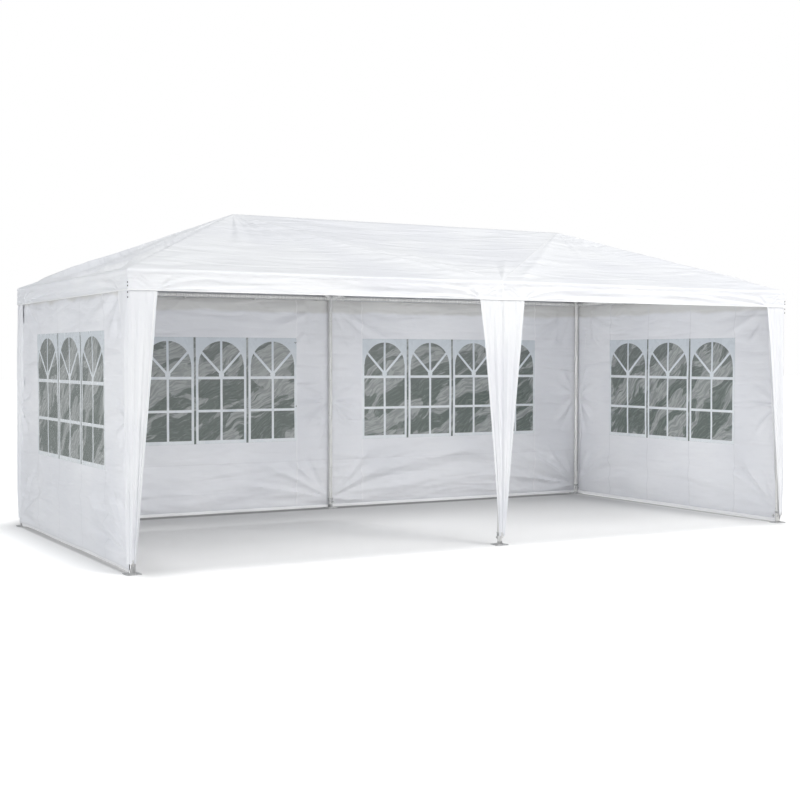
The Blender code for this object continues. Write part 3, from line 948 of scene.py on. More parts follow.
def make_roof_cover():
    rows = steps_between([0.0, 1.0], 1 / SLOPE_ROWS)
    left, right = (-RIDGE_HALF, 0.0), (RIDGE_HALF, 0.0)
    patches = []
    for start, end, pole, half, seed in (
        ((-COVER_X, -COVER_Y), (0.0, -COVER_Y), left, -1, 1.0),
        ((0.0, -COVER_Y), (COVER_X, -COVER_Y), right, 1, 1.0),
        ((COVER_X, -COVER_Y), (COVER_X, COVER_Y), right, 0, 3.0),
        ((COVER_X, COVER_Y), (0.0, COVER_Y), right, -1, 4.0),
        ((0.0, COVER_Y), (-COVER_X, COVER_Y), left, 1, 4.0),
        ((-COVER_X, COVER_Y), (-COVER_X, -COVER_Y), left, 0, 6.0),
    ):
        patches += roof_side(start, end, pole, rows, half, seed)
    patches.append(roof_middle(-1, rows, 7.0))
    patches.append(roof_middle(1, rows, 8.0))
    # rows run down and columns run left to right, so the faces need turning
    patches = [
        (points[::-1], flat[::-1], kept, seams[::-1]) for points, flat, kept, seams in patches]
    cover = make_cloth(
        "roof_cover", patches, sizes().cloth_thickness, cover_material())
    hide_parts("roof_front", "roof_back", "roof_left", "roof_right")
    return cover


# Drapes ------------------------------------------------------------------

DRAPE_END = 0.074       # lower edge, in front of the foot's socket
DRAPE_TUCK = 0.022      # how far a drape runs up behind the valance
DRAPE_HEM_AT = 0.92     # where its side seams run, as a share of its half width
DRAPE_CUT = 1.86        # length of its pattern


def drape_rows():
    stops = [DRAPE_END, DRAPE_END + 0.012, 0.25, VALANCE_BOTTOM, VALANCE_BOTTOM + DRAPE_TUCK]
    z = steps_between(stops, 0.028)[::-1]
    return z, (VALANCE_BOTTOM - z) / (VALANCE_BOTTOM - DRAPE_END)


def drape_pleats(t, down, seed):
    """Outward standing folds that run down and draw together, 0 to 1."""
    first = 0.5 + 0.5 * np.cos(2 * np.pi * (1.6 * t + 0.21 * seed + 0.35 * down))
    second = 0.5 + 0.5 * np.cos(2 * np.pi * (3.4 * t - 0.37 * seed - 0.3 * down))
    third = 0.5 + 0.5 * np.cos(2 * np.pi * (6.1 * t + 0.5 * seed + 0.4 * np.sin(5 * down)))
    return (0.50 * first ** 1.5 + 0.32 * second ** 2 + 0.18 * third ** 2) * ease(0.01, 0.10, down)


def drape_grid(stops, top, bottom):
    """Across from -1 to 1, down from 0 to 1, height and half width, on a grid."""
    z, down = drape_rows()
    half = steps_between([*stops, DRAPE_HEM_AT, 1.0], 0.045)
    t, down = np.meshgrid(np.concatenate([-half[::-1], half[1:]]), down)
    width = top + (bottom - top) * hold(0.0, down, 1.0) ** 0.92
    return t, down, np.broadcast_to(z[:, None], t.shape), width


def drape_stand(t, down, seed, drawn_in):
    """How far the pleats stand out, less where they draw together at the foot."""
    depth = 0.0190 * ease(0.0, 0.22, down) * (1 - drawn_in * ease(0.85, 1.0, down))
    return depth * drape_pleats(t, down, seed)


def make_drape_cloth(place, points, t, down, width, reverse):
    """The drape's cloth, its grid reversed where the faces would point inwards."""
    flat = np.stack([down * DRAPE_CUT, t * width], axis=-1)
    if reverse:
        points, flat = points[:, ::-1], flat[:, ::-1]
    # the side seams: a small ridge and a painted highlight
    seams = 1.0 * (np.abs(np.abs(t) - DRAPE_HEM_AT) < 0.01)
    cloth = make_cloth("drape_cloth_" + place, [(points, flat, None, seams)],
                       sizes().cloth_thickness, cover_material())
    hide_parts("drape_" + place)
    return cloth


def make_corner_drape(place, side_x, side_y, seed):
    t, down, z, width = drape_grid([0.0, 0.05], CORNER_DRAPE_TOP, CORNER_DRAPE_BOTTOM)
    reach = np.abs(t) * width
    stand = drape_stand(t, down, seed, 0.45) * ease(0.0, 0.12, np.abs(t))
    stand = stand + 0.0010 * (np.abs(t) > 0.93)
    tuck = -0.0022 + 0.0048 * ease(-0.001, 0.010, down)
    # the half on the end side curls in round the leg
    curl = 0.030 * ease(0.45, 1.0, -t) * ease(0.01, 0.20, down)
    out = tuck + stand - curl
    corner = 0.004 * np.exp(-(reach / 0.010) ** 2)
    on_long = t >= 0
    a = np.where(on_long, COVER_X - reach, COVER_X + out) - corner
    b = np.where(on_long, COVER_Y + out, COVER_Y - reach) - corner
    a = np.where(t == 0, COVER_X + out - corner, a)
    points = np.stack([side_x * a, side_y * b, z], axis=-1)
    cloth = make_drape_cloth(place, points, t, down, width, side_x * side_y < 0)
    return cloth


def make_middle_drape(place, side_y, seed):
    t, down, z, width = drape_grid([0.0, 0.03, 0.06], MIDDLE_DRAPE_TOP, MIDDLE_DRAPE_BOTTOM)
    out = -0.0022 + 0.0048 * ease(-0.001, 0.010, down) + drape_stand(t, down, seed, 0.5)
    out = out + 0.0010 * (np.abs(t) > 0.93)
    # the two halves meet in a narrow valley in front of the leg
    meet = np.exp(-((t * width / 0.007) ** 2)) * ease(0.0, 0.02, down)
    out = out * (1 - meet) - 0.0045 * meet
    points = np.stack([t * width, side_y * (COVER_Y + out), z], axis=-1)
    cloth = make_drape_cloth(place, points, t, down, width, side_y > 0)
    return cloth


# Walls -------------------------------------------------------------------

# A wall runs from start to end between its legs, and its window from low to high
Wall = namedtuple("Wall", "node window_node rail side seed start end legs low high")
WALLS = {
    "back_left": Wall(
        "back_wall_left", "back_windows_left", "eave_rail_back_left", "back", 1.0,
        -3.0250, -0.0006, (-3.0, 0.0), -BACK_WINDOW_FAR, -BACK_WINDOW_NEAR),
    "back_right": Wall(
        "back_wall_right", "back_windows_right", "eave_rail_back_right", "back", 2.0,
        0.0006, 3.0250, (0.0, 3.0), BACK_WINDOW_NEAR, BACK_WINDOW_FAR),
    "left_end": Wall(
        "left_wall", "left_windows", "eave_rail_left_end", "left", 3.0,
        -1.5150, 1.5270, (-1.5, 1.5), -END_WINDOW_HALF, END_WINDOW_HALF),
    "right_end": Wall(
        "right_wall", "right_windows", "eave_rail_right_end", "right", 4.0,
        -1.5150, 1.5270, (-1.5, 1.5), -END_WINDOW_HALF, END_WINDOW_HALF),
}
WALL_THICK = 0.0010
WALL_STEP = 0.0175      # largest square of a wall's grid
HEM_ROLL = 0.012        # radius of the roll along the foot of a wall
SEAM_HALF = 0.004       # half the width of a seam or crease
BACK_CREASE_AT = 0.475  # height of the crease along the back walls

# Folds that spread from a leg where the wall is tied: across, up, share
FOOT_SPOKES = (
    (0.16, 0.40, 0.7), (0.30, 0.46, -0.6), (0.46, 0.50, 1.0),
    (0.62, 0.42, -0.7), (0.80, 0.36, 0.9), (1.10, 0.28, -0.6),
    (1.30, 0.17, 0.8), (0.90, 0.05, -0.5), (0.45, -0.02, 0.7))
WAIST_SPOKES = (
    (0.20, 0.34, 0.5), (0.36, 0.17, 0.8), (0.36, 0.05, -0.7),
    (0.38, -0.06, 0.9), (0.36, -0.17, -0.7), (0.30, -0.30, 1.0),
    (0.20, -0.40, -0.6), (0.10, -0.48, 0.7), (0.08, 0.44, 0.5))
HEAD_SPOKES = (
    (0.09, -0.50, 0.6), (0.20, -0.46, -0.7), (0.34, -0.46, 1.0),
    (0.52, -0.40, -0.7), (0.72, -0.33, 0.9), (0.95, -0.22, -0.5),
    (0.60, -0.08, 0.6))
# Where the tapes stand along a back rail, from the middle leg
RAIL_TIES = (0.14, 0.80, 1.50, 2.20, 2.84)


def wall_ripple(wall, a, z):
    """How far a wall lies inwards of its flat shape, with its folds."""
    seed = wall.seed
    first, last = wall.legs
    length = last - first
    depth = sizes().fold_depth
    span = ease(0.0, 1.0, (a - first) / length * 2) * ease(0.0, 1.0, (last - a) / length * 2)
    lift = np.sin(np.pi * hold(0.0, z / WALL_TOP, 1.0))
    bulge = sizes().wall_bulge * span * lift
    folds = 0 * a * z
    for number, leg in enumerate(wall.legs):
        off = a - leg if number == 0 else leg - a
        turn = seed + 1.7 * number
        folds = folds + fan(off, z - 0.10, FOOT_SPOKES, 2.8 * depth, 0.046, turn, 1.25)
        folds = folds + fan(off, z - 1.06, WAIST_SPOKES, 2.2 * depth, 0.030, turn + 0.6)
        folds = folds + fan(off, z - 2.03, HEAD_SPOKES, 2.4 * depth, 0.040, turn + 1.1, 1.3)
    for tie in RAIL_TIES:
        spot = first + tie * length / HALF_LENGTH
        for turn in (-1, 1):
            folds = folds + sweep(
                turn * (a - spot), z - WALL_TOP, (0, 0), (0.24, -0.15), 1.6, 0.5 * depth, 0.02)
    near_foot = np.minimum(np.abs(a - first), np.abs(a - last))
    # long lazy folds lie along the lower wall, and softer ones along its top
    lower = (1 - ease(0.50, 0.72, z)) * ease(-0.02, 0.10, z - WALL_BOTTOM)
    slope = 0.10 * np.sin(2.0 * a + seed)
    share = 2.2 if wall.side == "back" else 1.3
    folds = folds + share * depth * lower * rumple_flat(a, z + slope * a, (0.7, 6.5), seed * 5.0)
    folds = folds + 0.90 * depth * rumple_flat(a, z - slope * a, (1.2, 3.0), seed * 2.0)
    folds = folds + 0.30 * depth * rumple_flat(a, z, (6.0, 7.0), seed * 3.0)
    inside = (ease(-0.06, 0.03, a - wall.low) * ease(-0.06, 0.03, wall.high - a)
              * ease(-0.06, 0.03, z - WINDOW_BOTTOM) * ease(-0.06, 0.03, WINDOW_TOP - z))
    folds = folds * (1 - 0.60 * inside)
    shift = bulge + 0.013 * ease(0.03, 0.16, near_foot) + folds
    # nothing may press into the valance, a drape or a leg's socket
    outermost = 0.006 * (1 - ease(1.80, 1.92, z)) * ease(0.15, 0.40, near_foot)
    shift = np.maximum(shift, -0.0012 - outermost)
    shift = np.minimum(shift, 0.0018 + 0.045 * ease(0.026, 0.11, near_foot))
    # under the valance it lies close behind the drapes
    behind = (1 - ease(0.22, 0.34, near_foot)) * ease(1.45, 1.70, z)
    shift = np.minimum(shift, 0.005 + 0.045 * (1 - behind))
    settle = ease(0.0, 0.05, WALL_TOP - z)
    return shift * (0.25 + 0.75 * settle)


def wall_point(side, a, z, shift):
    """A point of a wall, shift inwards of its plane; a runs along the wall."""
    if side == "back":
        return np.stack([a, HALF_WIDTH + WALL_OFFSET - shift, z], axis=-1)
    sign = -1 if side == "left" else 1
    return np.stack([sign * (HALF_LENGTH + WALL_OFFSET - shift), a, z], axis=-1)


def turned_out(side, patch):
    """Reverse a grid whose faces would point into the tent."""
    if side == "left":
        return patch
    return tuple(part if part is None else part[:, ::-1] for part in patch)


def wall_creases(wall):
    """Where a wall was folded: upright lines between its windows, or one along it."""
    if wall.side == "back":
        return [], [BACK_CREASE_AT]
    pitch = (wall.high - wall.low + STRIP_GAP) / 3
    return [wall.low - STRIP_GAP / 2 + pitch, wall.low - STRIP_GAP / 2 + 2 * pitch], []


def wall_grid(wall):
    """Where the columns and rows of a wall's grid stand."""
    hem = sizes().hem_width
    seam = SEAM_HALF * np.arange(-2, 3)
    upright, level = wall_creases(wall)
    across = steps_between(
        sorted([wall.start, wall.start + hem, *(wall.low + seam), *(wall.high + seam),
                wall.end - hem, wall.end, *[line + step for line in upright for step in seam]]),
        WALL_STEP)
    roll = WALL_BOTTOM + 2 * HEM_ROLL * np.sin(np.linspace(0, np.pi / 2, 7))
    up = steps_between(
        [*roll, roll[-1] + 0.003, *[line + step for line in level for step in seam],
         *(WINDOW_BOTTOM + seam), *(WINDOW_TOP + seam), WALL_TOP - 0.03, WALL_TOP], WALL_STEP)
    return across, up


def wall_seams_and_painted_light(wall, a, z):
    """Seams and creases of a wall with their painted light: above 0 a seam with a painted
    highlight, below 0 a crease, or a seam of an end wall, with painted shade.
    """
    near = SEAM_HALF + 0.0005
    strip = np.minimum(np.abs(a - wall.low), np.abs(a - wall.high)) < near
    # seams at the strip's edges: painted highlight on the back walls and painted shade on the end
    # walls, as the light falls on them
    seams = (0.45 if wall.side == "back" else -0.6) * strip
    upright, level = wall_creases(wall)
    # creases get painted shade as well as a small ridge
    for line in upright:
        seams = seams - 0.55 * (np.abs(a - line) < near)
    for line in level:
        seams = np.where(np.abs(z - line) < near, -0.35, seams)
    return seams


def make_wall(key):
    wall = WALLS[key]
    across, up = wall_grid(wall)
    a, z = np.meshgrid(across, up)
    shift = wall_ripple(wall, a, z)
    seams = wall_seams_and_painted_light(wall, a, z)
    # the lower hem is a roll that stands out at its foot, sewn along its top
    share = (z - WALL_BOTTOM) / (2 * HEM_ROLL)
    roll = HEM_ROLL * np.sqrt(np.maximum(0.0, 1 - share ** 2))
    points = wall_point(wall.side, a, z, shift + roll + 0.0016 * seams)
    # the hem roll gets a painted highlight and the groove just above it painted shade
    seams = np.where(share < 1.001, 1.0, np.where(share < 1.15, -0.5, seams))
    middle_a = (across[1:] + across[:-1]) / 2
    middle_z = (up[1:] + up[:-1]) / 2
    hole = np.outer((middle_z > WINDOW_BOTTOM) & (middle_z < WINDOW_TOP),
                    (middle_a > wall.low) & (middle_a < wall.high))
    patch = turned_out(wall.side, (points, np.stack([a, z], axis=-1), ~hole, seams))
    cloth = make_cloth("wall_cloth_" + key, [patch], WALL_THICK, wall_material())
    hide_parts(wall.node)
    return cloth


# Windows -----------------------------------------------------------------

FILM_THICK = 0.0006
FILM_LEAN = {"back": 0.45, "left": -0.75, "right": -0.75}   # how its ruffles lean, in radians
PRINT_THICK = 0.0018
PRINT_INSET = 0.0005    # how far the print ends inside the strip's lower and upper edge
PRINT_STEP = 0.036      # largest square of the print, so that it follows the film
STRIP_GAP = 0.021       # clear strip between two printed windows
# Heights in one printed window, from the lower edge of the strip
SILL = 0.032
LOWER_BAR = (0.297, 0.321)
SPRING_BAR = (0.606, 0.632)
ARCH_CENTRE = 0.744
ARCH_RISE = 0.220
# The bars of the arch spread from a hub like a fan
HUB_AT = 0.648
HUB_RADIUS = 0.026
BAR_HALF = 0.0112
STILE = 0.024


def make_window_template(width):
    """One printed window frame, upright in the XZ plane, with its openings."""
    half = width / 2
    pane = half - STILE
    deep = 0.02
    add_cylinder = bpy.ops.mesh.primitive_cylinder_add

    # the panes of the arch: a box below half an ellipse, less the bars and the hub
    lights = add_block((-pane, -deep, SPRING_BAR[1]), (pane, deep, ARCH_CENTRE))
    arch = add_primitive(
        add_cylinder, vertices=72, radius=1.0, depth=2 * deep, location=(0, 0, ARCH_CENTRE),
        rotation=ALONG_Y, scale=(pane - 0.003, ARCH_RISE, 1.0))
    cut(arch, add_block((-1, -1, 0), (1, 1, ARCH_CENTRE - 0.001)))
    cut(lights, arch, "UNION")
    cut(lights, add_block((-BAR_HALF, -0.03, 0.6), (BAR_HALF, 0.03, 1.0)))
    for lean in (-1, 1):
        bar = pick(add_block((-BAR_HALF, -0.03, -0.02), (BAR_HALF, 0.03, 0.45)))
        angle = math.atan2(pane * 0.80, 0.195)
        bar.matrix_world = (
            Matrix.Translation((0, 0, HUB_AT + 0.003)) @ Matrix.Rotation(lean * angle, 4, "Y"))
        cut(lights, freeze(bar))
    cut(lights, add_primitive(
        add_cylinder, vertices=32, radius=HUB_RADIUS, depth=0.06, location=(0, 0, HUB_AT),
        rotation=ALONG_Y))

    template = add_block((-half, -PRINT_THICK / 2, 0.0), (half, PRINT_THICK / 2, 1.0))
    cut(template, lights)
    for side in (-1, 1):
        left, right = sorted((side * BAR_HALF, side * pane))
        for low, high in ((SILL, LOWER_BAR[0]), (LOWER_BAR[1], SPRING_BAR[0])):
            cut(template, add_block((left, -deep, low), (right, deep, high)))
    pick(template)
    bpy.ops.object.mode_set(mode="EDIT")
    cuts = [((k * PRINT_STEP, 0, 0), (1, 0, 0)) for k in range(-8, 9)]
    cuts += [((0, 0, k * PRINT_STEP), (0, 0, 1)) for k in range(1, 28)]
    for point, normal in cuts:
        bpy.ops.mesh.select_all(action="SELECT")
        bpy.ops.mesh.bisect(plane_co=point, plane_no=normal)
    bpy.ops.object.mode_set(mode="OBJECT")
    apply(template, "TRIANGULATE")
    return template


def between(values, columns, rows, a, z):
    """A value on a grid, at places between its columns and rows."""
    column = np.clip(np.searchsorted(columns, a) - 1, 0, len(columns) - 2)
    row = np.clip(np.searchsorted(rows, z) - 1, 0, len(rows) - 2)
    u = (a - columns[column]) / (columns[column + 1] - columns[column])
    w = (z - rows[row]) / (rows[row + 1] - rows[row])
    return ((values[row, column] * (1 - u) + values[row, column + 1] * u) * (1 - w)
            + (values[row + 1, column] * (1 - u) + values[row + 1, column + 1] * u) * w)


def make_windows(key, template, count, width):
    """The clear strip of one wall, and the window frames printed on it."""
    wall = WALLS[key]
    # the film fills the hole in the wall's own grid, so their edges meet
    across, up = wall_grid(wall)
    across = across[(across > wall.low - 1e-6) & (across < wall.high + 1e-6)]
    up = up[(up > WINDOW_BOTTOM - 1e-6) & (up < WINDOW_TOP + 1e-6)]
    a, z = np.meshgrid(across, up)
    lie = wall_ripple(wall, a, z)
    lean = FILM_LEAN[wall.side]
    flat = np.stack([a * math.cos(lean) + z * math.sin(lean),
                     z * math.cos(lean) - a * math.sin(lean)], axis=-1)
    patch = turned_out(wall.side, (wall_point(wall.side, a, z, lie), flat, None, 0 * a))
    clear = finish_named(
        "clear_film", clear_film, colours().film, colours().film_painted_reflection, colours().film_tint)
    film = make_cloth("window_film_" + key, [patch], FILM_THICK, clear)

    frames = []
    for k in range(count):
        centre = wall.low + width / 2 + k * (width + STRIP_GAP)
        one = copy_of(template, "window_print")
        local = vertices_of(one)
        along, height = centre + local[:, 0], WINDOW_BOTTOM + local[:, 2]
        height = (
            WINDOW_BOTTOM + PRINT_INSET + (height - WINDOW_BOTTOM) * (1 - 2 * PRINT_INSET))
        # the print lies on the film, between the same grid points
        shift = between(lie, across, up, along, height) + local[:, 1]
        move_vertices(one, wall_point(wall.side, along, height, shift))
        frames.append(one)
    ink = join_pieces(frames)
    turn_faces_out(ink)
    smooth_by_angle(ink, 30)
    printed = finish_named("window_print", window_print, colours().ink, colours().ink_shade)
    dress(ink, "window_frames_" + key, printed)
    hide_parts(wall.window_node)
    return film


# Steel -------------------------------------------------------------------

PLATE_SIDE = 0.110
PLATE_THICK = 0.006
PLATE_CORNER = 0.012
SOCKET_RADIUS = 0.025
SOCKET_BORE = 0.0193
SOCKET_HEIGHT = 0.100
PEG_HOLE = 0.0055
PEG_HOLE_AT = 0.039
BOLT_HEIGHT = 0.060


def make_plate():
    """Square foot plate with round corners and four peg holes."""
    half = PLATE_SIDE / 2
    plate = add_block((-half, -half, 0), (half, half, PLATE_THICK))
    bpy.ops.object.mode_set(mode="EDIT")
    select_edges(plate, lambda a, b: abs(a.z - b.z) > PLATE_THICK / 2)
    bpy.ops.mesh.bevel(offset=PLATE_CORNER, segments=6, profile=0.5, affect="EDGES")
    select_edges(plate, lambda a, b: min(a.z, b.z) > PLATE_THICK - 1e-5)
    bpy.ops.mesh.bevel(offset=0.0009, segments=2, profile=0.5, affect="EDGES")
    bpy.ops.object.mode_set(mode="OBJECT")
    for x in (-PEG_HOLE_AT, PEG_HOLE_AT):
        for y in (-PEG_HOLE_AT, PEG_HOLE_AT):
            cut(plate, add_primitive(
                bpy.ops.mesh.primitive_cylinder_add, vertices=32, radius=PEG_HOLE, depth=0.05,
                location=(x, y, 0)))
    return plate


def make_socket():
    """Tube that the leg stands in, open at its top."""
    socket = add_primitive(
        bpy.ops.mesh.primitive_cylinder_add, vertices=48, radius=SOCKET_RADIUS,
        depth=SOCKET_HEIGHT - PLATE_THICK / 2,
        location=(0, 0, (SOCKET_HEIGHT + PLATE_THICK / 2) / 2))
    bpy.ops.object.mode_set(mode="EDIT")
    select_top_faces(socket)
    bpy.ops.mesh.inset(thickness=SOCKET_RADIUS - SOCKET_BORE)
    bpy.ops.mesh.extrude_region_move(
        TRANSFORM_OT_translate={"value": (0, 0, -(SOCKET_HEIGHT - PLATE_THICK - 0.001))})
    select_edges(socket, lambda a, b: (
        min(a.z, b.z) > SOCKET_HEIGHT - 1e-5 and abs(a.xy.length - b.xy.length) < 1e-5))
    bpy.ops.mesh.bevel(offset=0.0010, segments=2, profile=0.5, affect="EDGES")
    bpy.ops.object.mode_set(mode="OBJECT")
    return socket


def make_weld():
    """Weld bead, whose ripples run round the foot of the socket."""
    bead = add_primitive(
        bpy.ops.mesh.primitive_torus_add, major_segments=96, minor_segments=12,
        major_radius=SOCKET_RADIUS + 0.0010, minor_radius=0.0034,
        location=(0, 0, PLATE_THICK + 0.0006))
    points = vertices_of(bead)
    turn = np.arctan2(points[:, 1], points[:, 0])
    swell = 1 + 0.018 * np.cos(24 * turn) + 0.008 * np.cos(7 * turn)
    points[:, :2] *= swell[:, None]
    move_vertices(bead, points)
    return bead


def make_wing(lower):
    """One wing of the wing nut: the upper one, or its mirror image below."""
    wing = add_block((SOCKET_RADIUS + 0.005, -0.0013, BOLT_HEIGHT),
                     (SOCKET_RADIUS + 0.012, 0.0013, BOLT_HEIGHT + 0.008))
    bpy.ops.object.mode_set(mode="EDIT")
    select_top_faces(wing)
    bpy.ops.mesh.extrude_region_move(TRANSFORM_OT_translate={"value": (0.004, 0, 0.008)})
    bpy.ops.transform.resize(value=(1.25, 1.0, 1.0))
    bpy.ops.object.mode_set(mode="OBJECT")
    apply(wing, "BEVEL", width=0.0010, segments=3)
    if lower:
        points = vertices_of(wing)
        points[:, 2] = 2 * BOLT_HEIGHT - points[:, 2]
        move_vertices(wing, points)
        turn_faces_out(wing)
    return wing


def make_bolt():
    """Hexagon head on one side of the socket, and stem, hub and wings on the other."""
    add_cylinder = bpy.ops.mesh.primitive_cylinder_add
    head = add_primitive(
        add_cylinder, vertices=6, radius=0.0075, depth=0.006,
        location=(0, SOCKET_RADIUS + 0.0028, BOLT_HEIGHT), rotation=ALONG_Y)
    apply(head, "BEVEL", width=0.0008, segments=2)
    stem = add_primitive(
        add_cylinder, vertices=24, radius=0.0030, depth=0.026,
        location=(SOCKET_RADIUS + 0.010, 0, BOLT_HEIGHT), rotation=ALONG_X)
    apply(stem, "BEVEL", width=0.0006, segments=2)
    hub = add_primitive(
        bpy.ops.mesh.primitive_cone_add, vertices=32, radius1=0.0072, radius2=0.0052,
        depth=0.009, location=(SOCKET_RADIUS + 0.0072, 0, BOLT_HEIGHT),
        rotation=ALONG_X)
    apply(hub, "BEVEL", width=0.0007, segments=2)
    return [head, stem, hub, make_wing(True), make_wing(False)]


def make_bases():
    """A foot plate under each leg, with its socket, weld and bolt."""
    template = join_pieces([make_plate(), make_socket(), make_weld(), *make_bolt()])
    smooth_by_angle(template, 35)
    for place, (side_x, side_y) in STATIONS.items():
        base = copy_of(template, "base_plate_" + place)
        points = vertices_of(base)
        # the bolt and its wing nut turn, so that the nut points into the tent
        upright = points[:, 2] > PLATE_THICK + 0.006
        angle = math.radians(-side_y * (90 + 45 * side_x))
        turned = points.copy()
        turned[:, 0] = points[:, 0] * math.cos(angle) - points[:, 1] * math.sin(angle)
        turned[:, 1] = points[:, 0] * math.sin(angle) + points[:, 1] * math.cos(angle)
        points = np.where(upright[:, None], turned, points)
        points[:, 0] += side_x * HALF_LENGTH
        points[:, 1] += side_y * HALF_WIDTH
        move_vertices(base, points)
        dress(base, "base_plate_" + place, foot_material())
        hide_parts("foot_" + place)
    bpy.data.objects.remove(template, do_unlink=True)


def finish_steel():
    tone = colours()
    leg = coated_steel("leg_coating", tone.tube, tone.tube_shade, 0.10, 0.34)
    pole = coated_steel("pole_coating", tone.tube, tone.tube_shade, 0.10, 0.38)
    for name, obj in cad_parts.items():
        if name.startswith("leg_"):
            coat = leg
        elif name.startswith(("eave_rail", "hip_rafter", "middle_rafter", "ridge_pole")):
            coat = pole
        elif name.startswith("connector"):
            coat = fitting_material()
        else:
            continue
        for holder in obj.material_slots:
            holder.material = coat


# Ties --------------------------------------------------------------------

END_RAIL_TIES = (-1.34, -0.70, 0.0, 0.70, 1.34)
BEAD_HEIGHTS = (1.985, 1.962, 1.918, 1.884)
CORNER_GAP = 0.0025     # a bead's middle stands this far out of the cover's corner


def make_rail_ties():
    """Tape loops that hold the walls up to the eave rails."""
    loop = add_primitive(
        bpy.ops.mesh.primitive_cylinder_add, vertices=40, radius=RAIL_RADIUS + 0.0012,
        depth=0.016, end_fill_type="NOTHING", rotation=ALONG_X)
    apply(loop, "SOLIDIFY", thickness=0.0012, offset=1.0)
    apply(loop, "BEVEL", width=0.0004, segments=2)
    points = vertices_of(loop)
    # the lower half hangs down and reaches out to the wall's top edge
    drop = hold(0.0, -points[:, 2] / RAIL_RADIUS, 1.0)
    points[:, 2] -= 0.010 * drop ** 1.5
    points[:, 1] += 0.0075 * drop ** 1.5
    move_vertices(loop, points)
    smooth_by_angle(loop, 40)
    spots = [("back", bay * x) for bay in (-1, 1) for x in RAIL_TIES]
    spots += [(side, y) for side in ("left", "right") for y in END_RAIL_TIES]
    for number, (side, at) in enumerate(spots):
        tie = copy_of(loop, f"rail_tie_{side}_{number + 1}")
        x, y, z = vertices_of(tie).T
        z = z + RAIL_HEIGHT
        if side == "back":
            points = np.column_stack([at + x, HALF_WIDTH + y, z])
        else:
            sign = -1 if side == "left" else 1
            points = np.column_stack([sign * (HALF_LENGTH + y), at + sign * -x, z])
        move_vertices(tie, points)
        dress(tie, tie.name, tie_material())
    bpy.data.objects.remove(loop, do_unlink=True)


def make_drape_ties():
    """An eyelet at the foot of each drape, and the tape tied from it to the foot."""
    add_ring = bpy.ops.mesh.primitive_torus_add
    eyelet = add_primitive(
        add_ring, major_segments=36, minor_segments=12, major_radius=0.0068,
        minor_radius=0.0020, rotation=ALONG_Y)
    points = vertices_of(eyelet)
    points[:, 1] *= 0.8
    move_vertices(eyelet, points)
    # a knotted loop of tape that hangs from the eyelet to the bolt of the foot
    tape = add_primitive(
        add_ring, major_segments=48, minor_segments=10, major_radius=0.020,
        minor_radius=0.0022, rotation=ALONG_Y)
    points = vertices_of(tape)
    turn = np.arctan2(points[:, 2], points[:, 0])
    points[:, 0] *= 0.30 + 0.06 * np.cos(2 * turn)
    points[:, 1] = points[:, 1] * 1.4 - 0.006 * (1 - np.sin(turn)) / 2
    points[:, 2] -= 0.016
    move_vertices(tape, points)
    knot = add_primitive(
        bpy.ops.mesh.primitive_uv_sphere_add, segments=24, ring_count=16, radius=0.0052)
    points = vertices_of(knot)
    twist = np.arctan2(points[:, 1], points[:, 0])
    points *= (1 + 0.10 * np.sin(3 * twist + 500 * points[:, 2]))[:, None]
    points[:, 2] *= 1.25
    move_vertices(knot, points)
    for source in (eyelet, tape, knot):
        smooth_by_angle(source, 60)
    for place, (side_x, side_y) in STATIONS.items():
        for source, name, material, slot_name, drop, proud in (
            (eyelet, "eyelet_", fitting_material(), "fitting_finish", 0.0, 0.0042),
            (tape, "foot_tie_", tie_material(), "wall_fabric", 0.0, 0.0060),
            (knot, "tie_knot_", tie_material(), "wall_fabric", -0.018, 0.0060),
        ):
            made = copy_of(source, name + place)
            points = vertices_of(made)
            points[:, 1] *= -side_y if source is tape else 1
            points[:, 0] += side_x * (HALF_LENGTH + 0.008)
            points[:, 1] += side_y * (COVER_Y + proud)
            points[:, 2] += DRAPE_END + 0.022 + drop
            move_vertices(made, points)
            if source is tape and side_y > 0:
                turn_faces_out(made)
            dress(made, made.name, material)
    for source in (eyelet, tape, knot):
        bpy.data.objects.remove(source, do_unlink=True)


def make_toggles():
    """Small dark beads on the elastic that laces the front corners."""
    bead = add_primitive(
        bpy.ops.mesh.primitive_uv_sphere_add, segments=28, ring_count=18, radius=0.0042)
    points = vertices_of(bead)
    points[:, 2] *= 1.3
    # a waist, where the elastic goes through
    points[:, :2] *= (1 - 0.22 * np.exp(-((points[:, 2] / 0.0014) ** 2)))[:, None]
    move_vertices(bead, points)
    smooth_by_angle(bead, 60)
    black = coated_steel("toggle_plastic", colours().toggle, colours().toggle_shade, 0.0, 0.45)
    for place in ("front_left", "front_right"):
        side_x, side_y = STATIONS[place]
        for number, height in enumerate(BEAD_HEIGHTS):
            toggle = copy_of(bead, f"toggle_{place}_{number + 1}")
            points = vertices_of(toggle)
            points[:, 0] += side_x * (COVER_X + CORNER_GAP)
            points[:, 1] += side_y * (COVER_Y + CORNER_GAP)
            points[:, 2] += height
            move_vertices(toggle, points)
            dress(toggle, toggle.name, black)
    bpy.data.objects.remove(bead, do_unlink=True)


# Stage -------------------------------------------------------------------

CAMERA_AT = (-5.879, -10.316, 1.470)
CAMERA_YAW = 29.428     # degrees, as the next two
CAMERA_PITCH = -1.760
CAMERA_ROLL = 0.062

FLOOR_SIDE = 160
FLOOR_COLOUR = (0.86, 0.86, 0.86)
SKY_COLOUR = (0.955, 0.98, 1.0, 1)
SKY_STRENGTH = 0.49

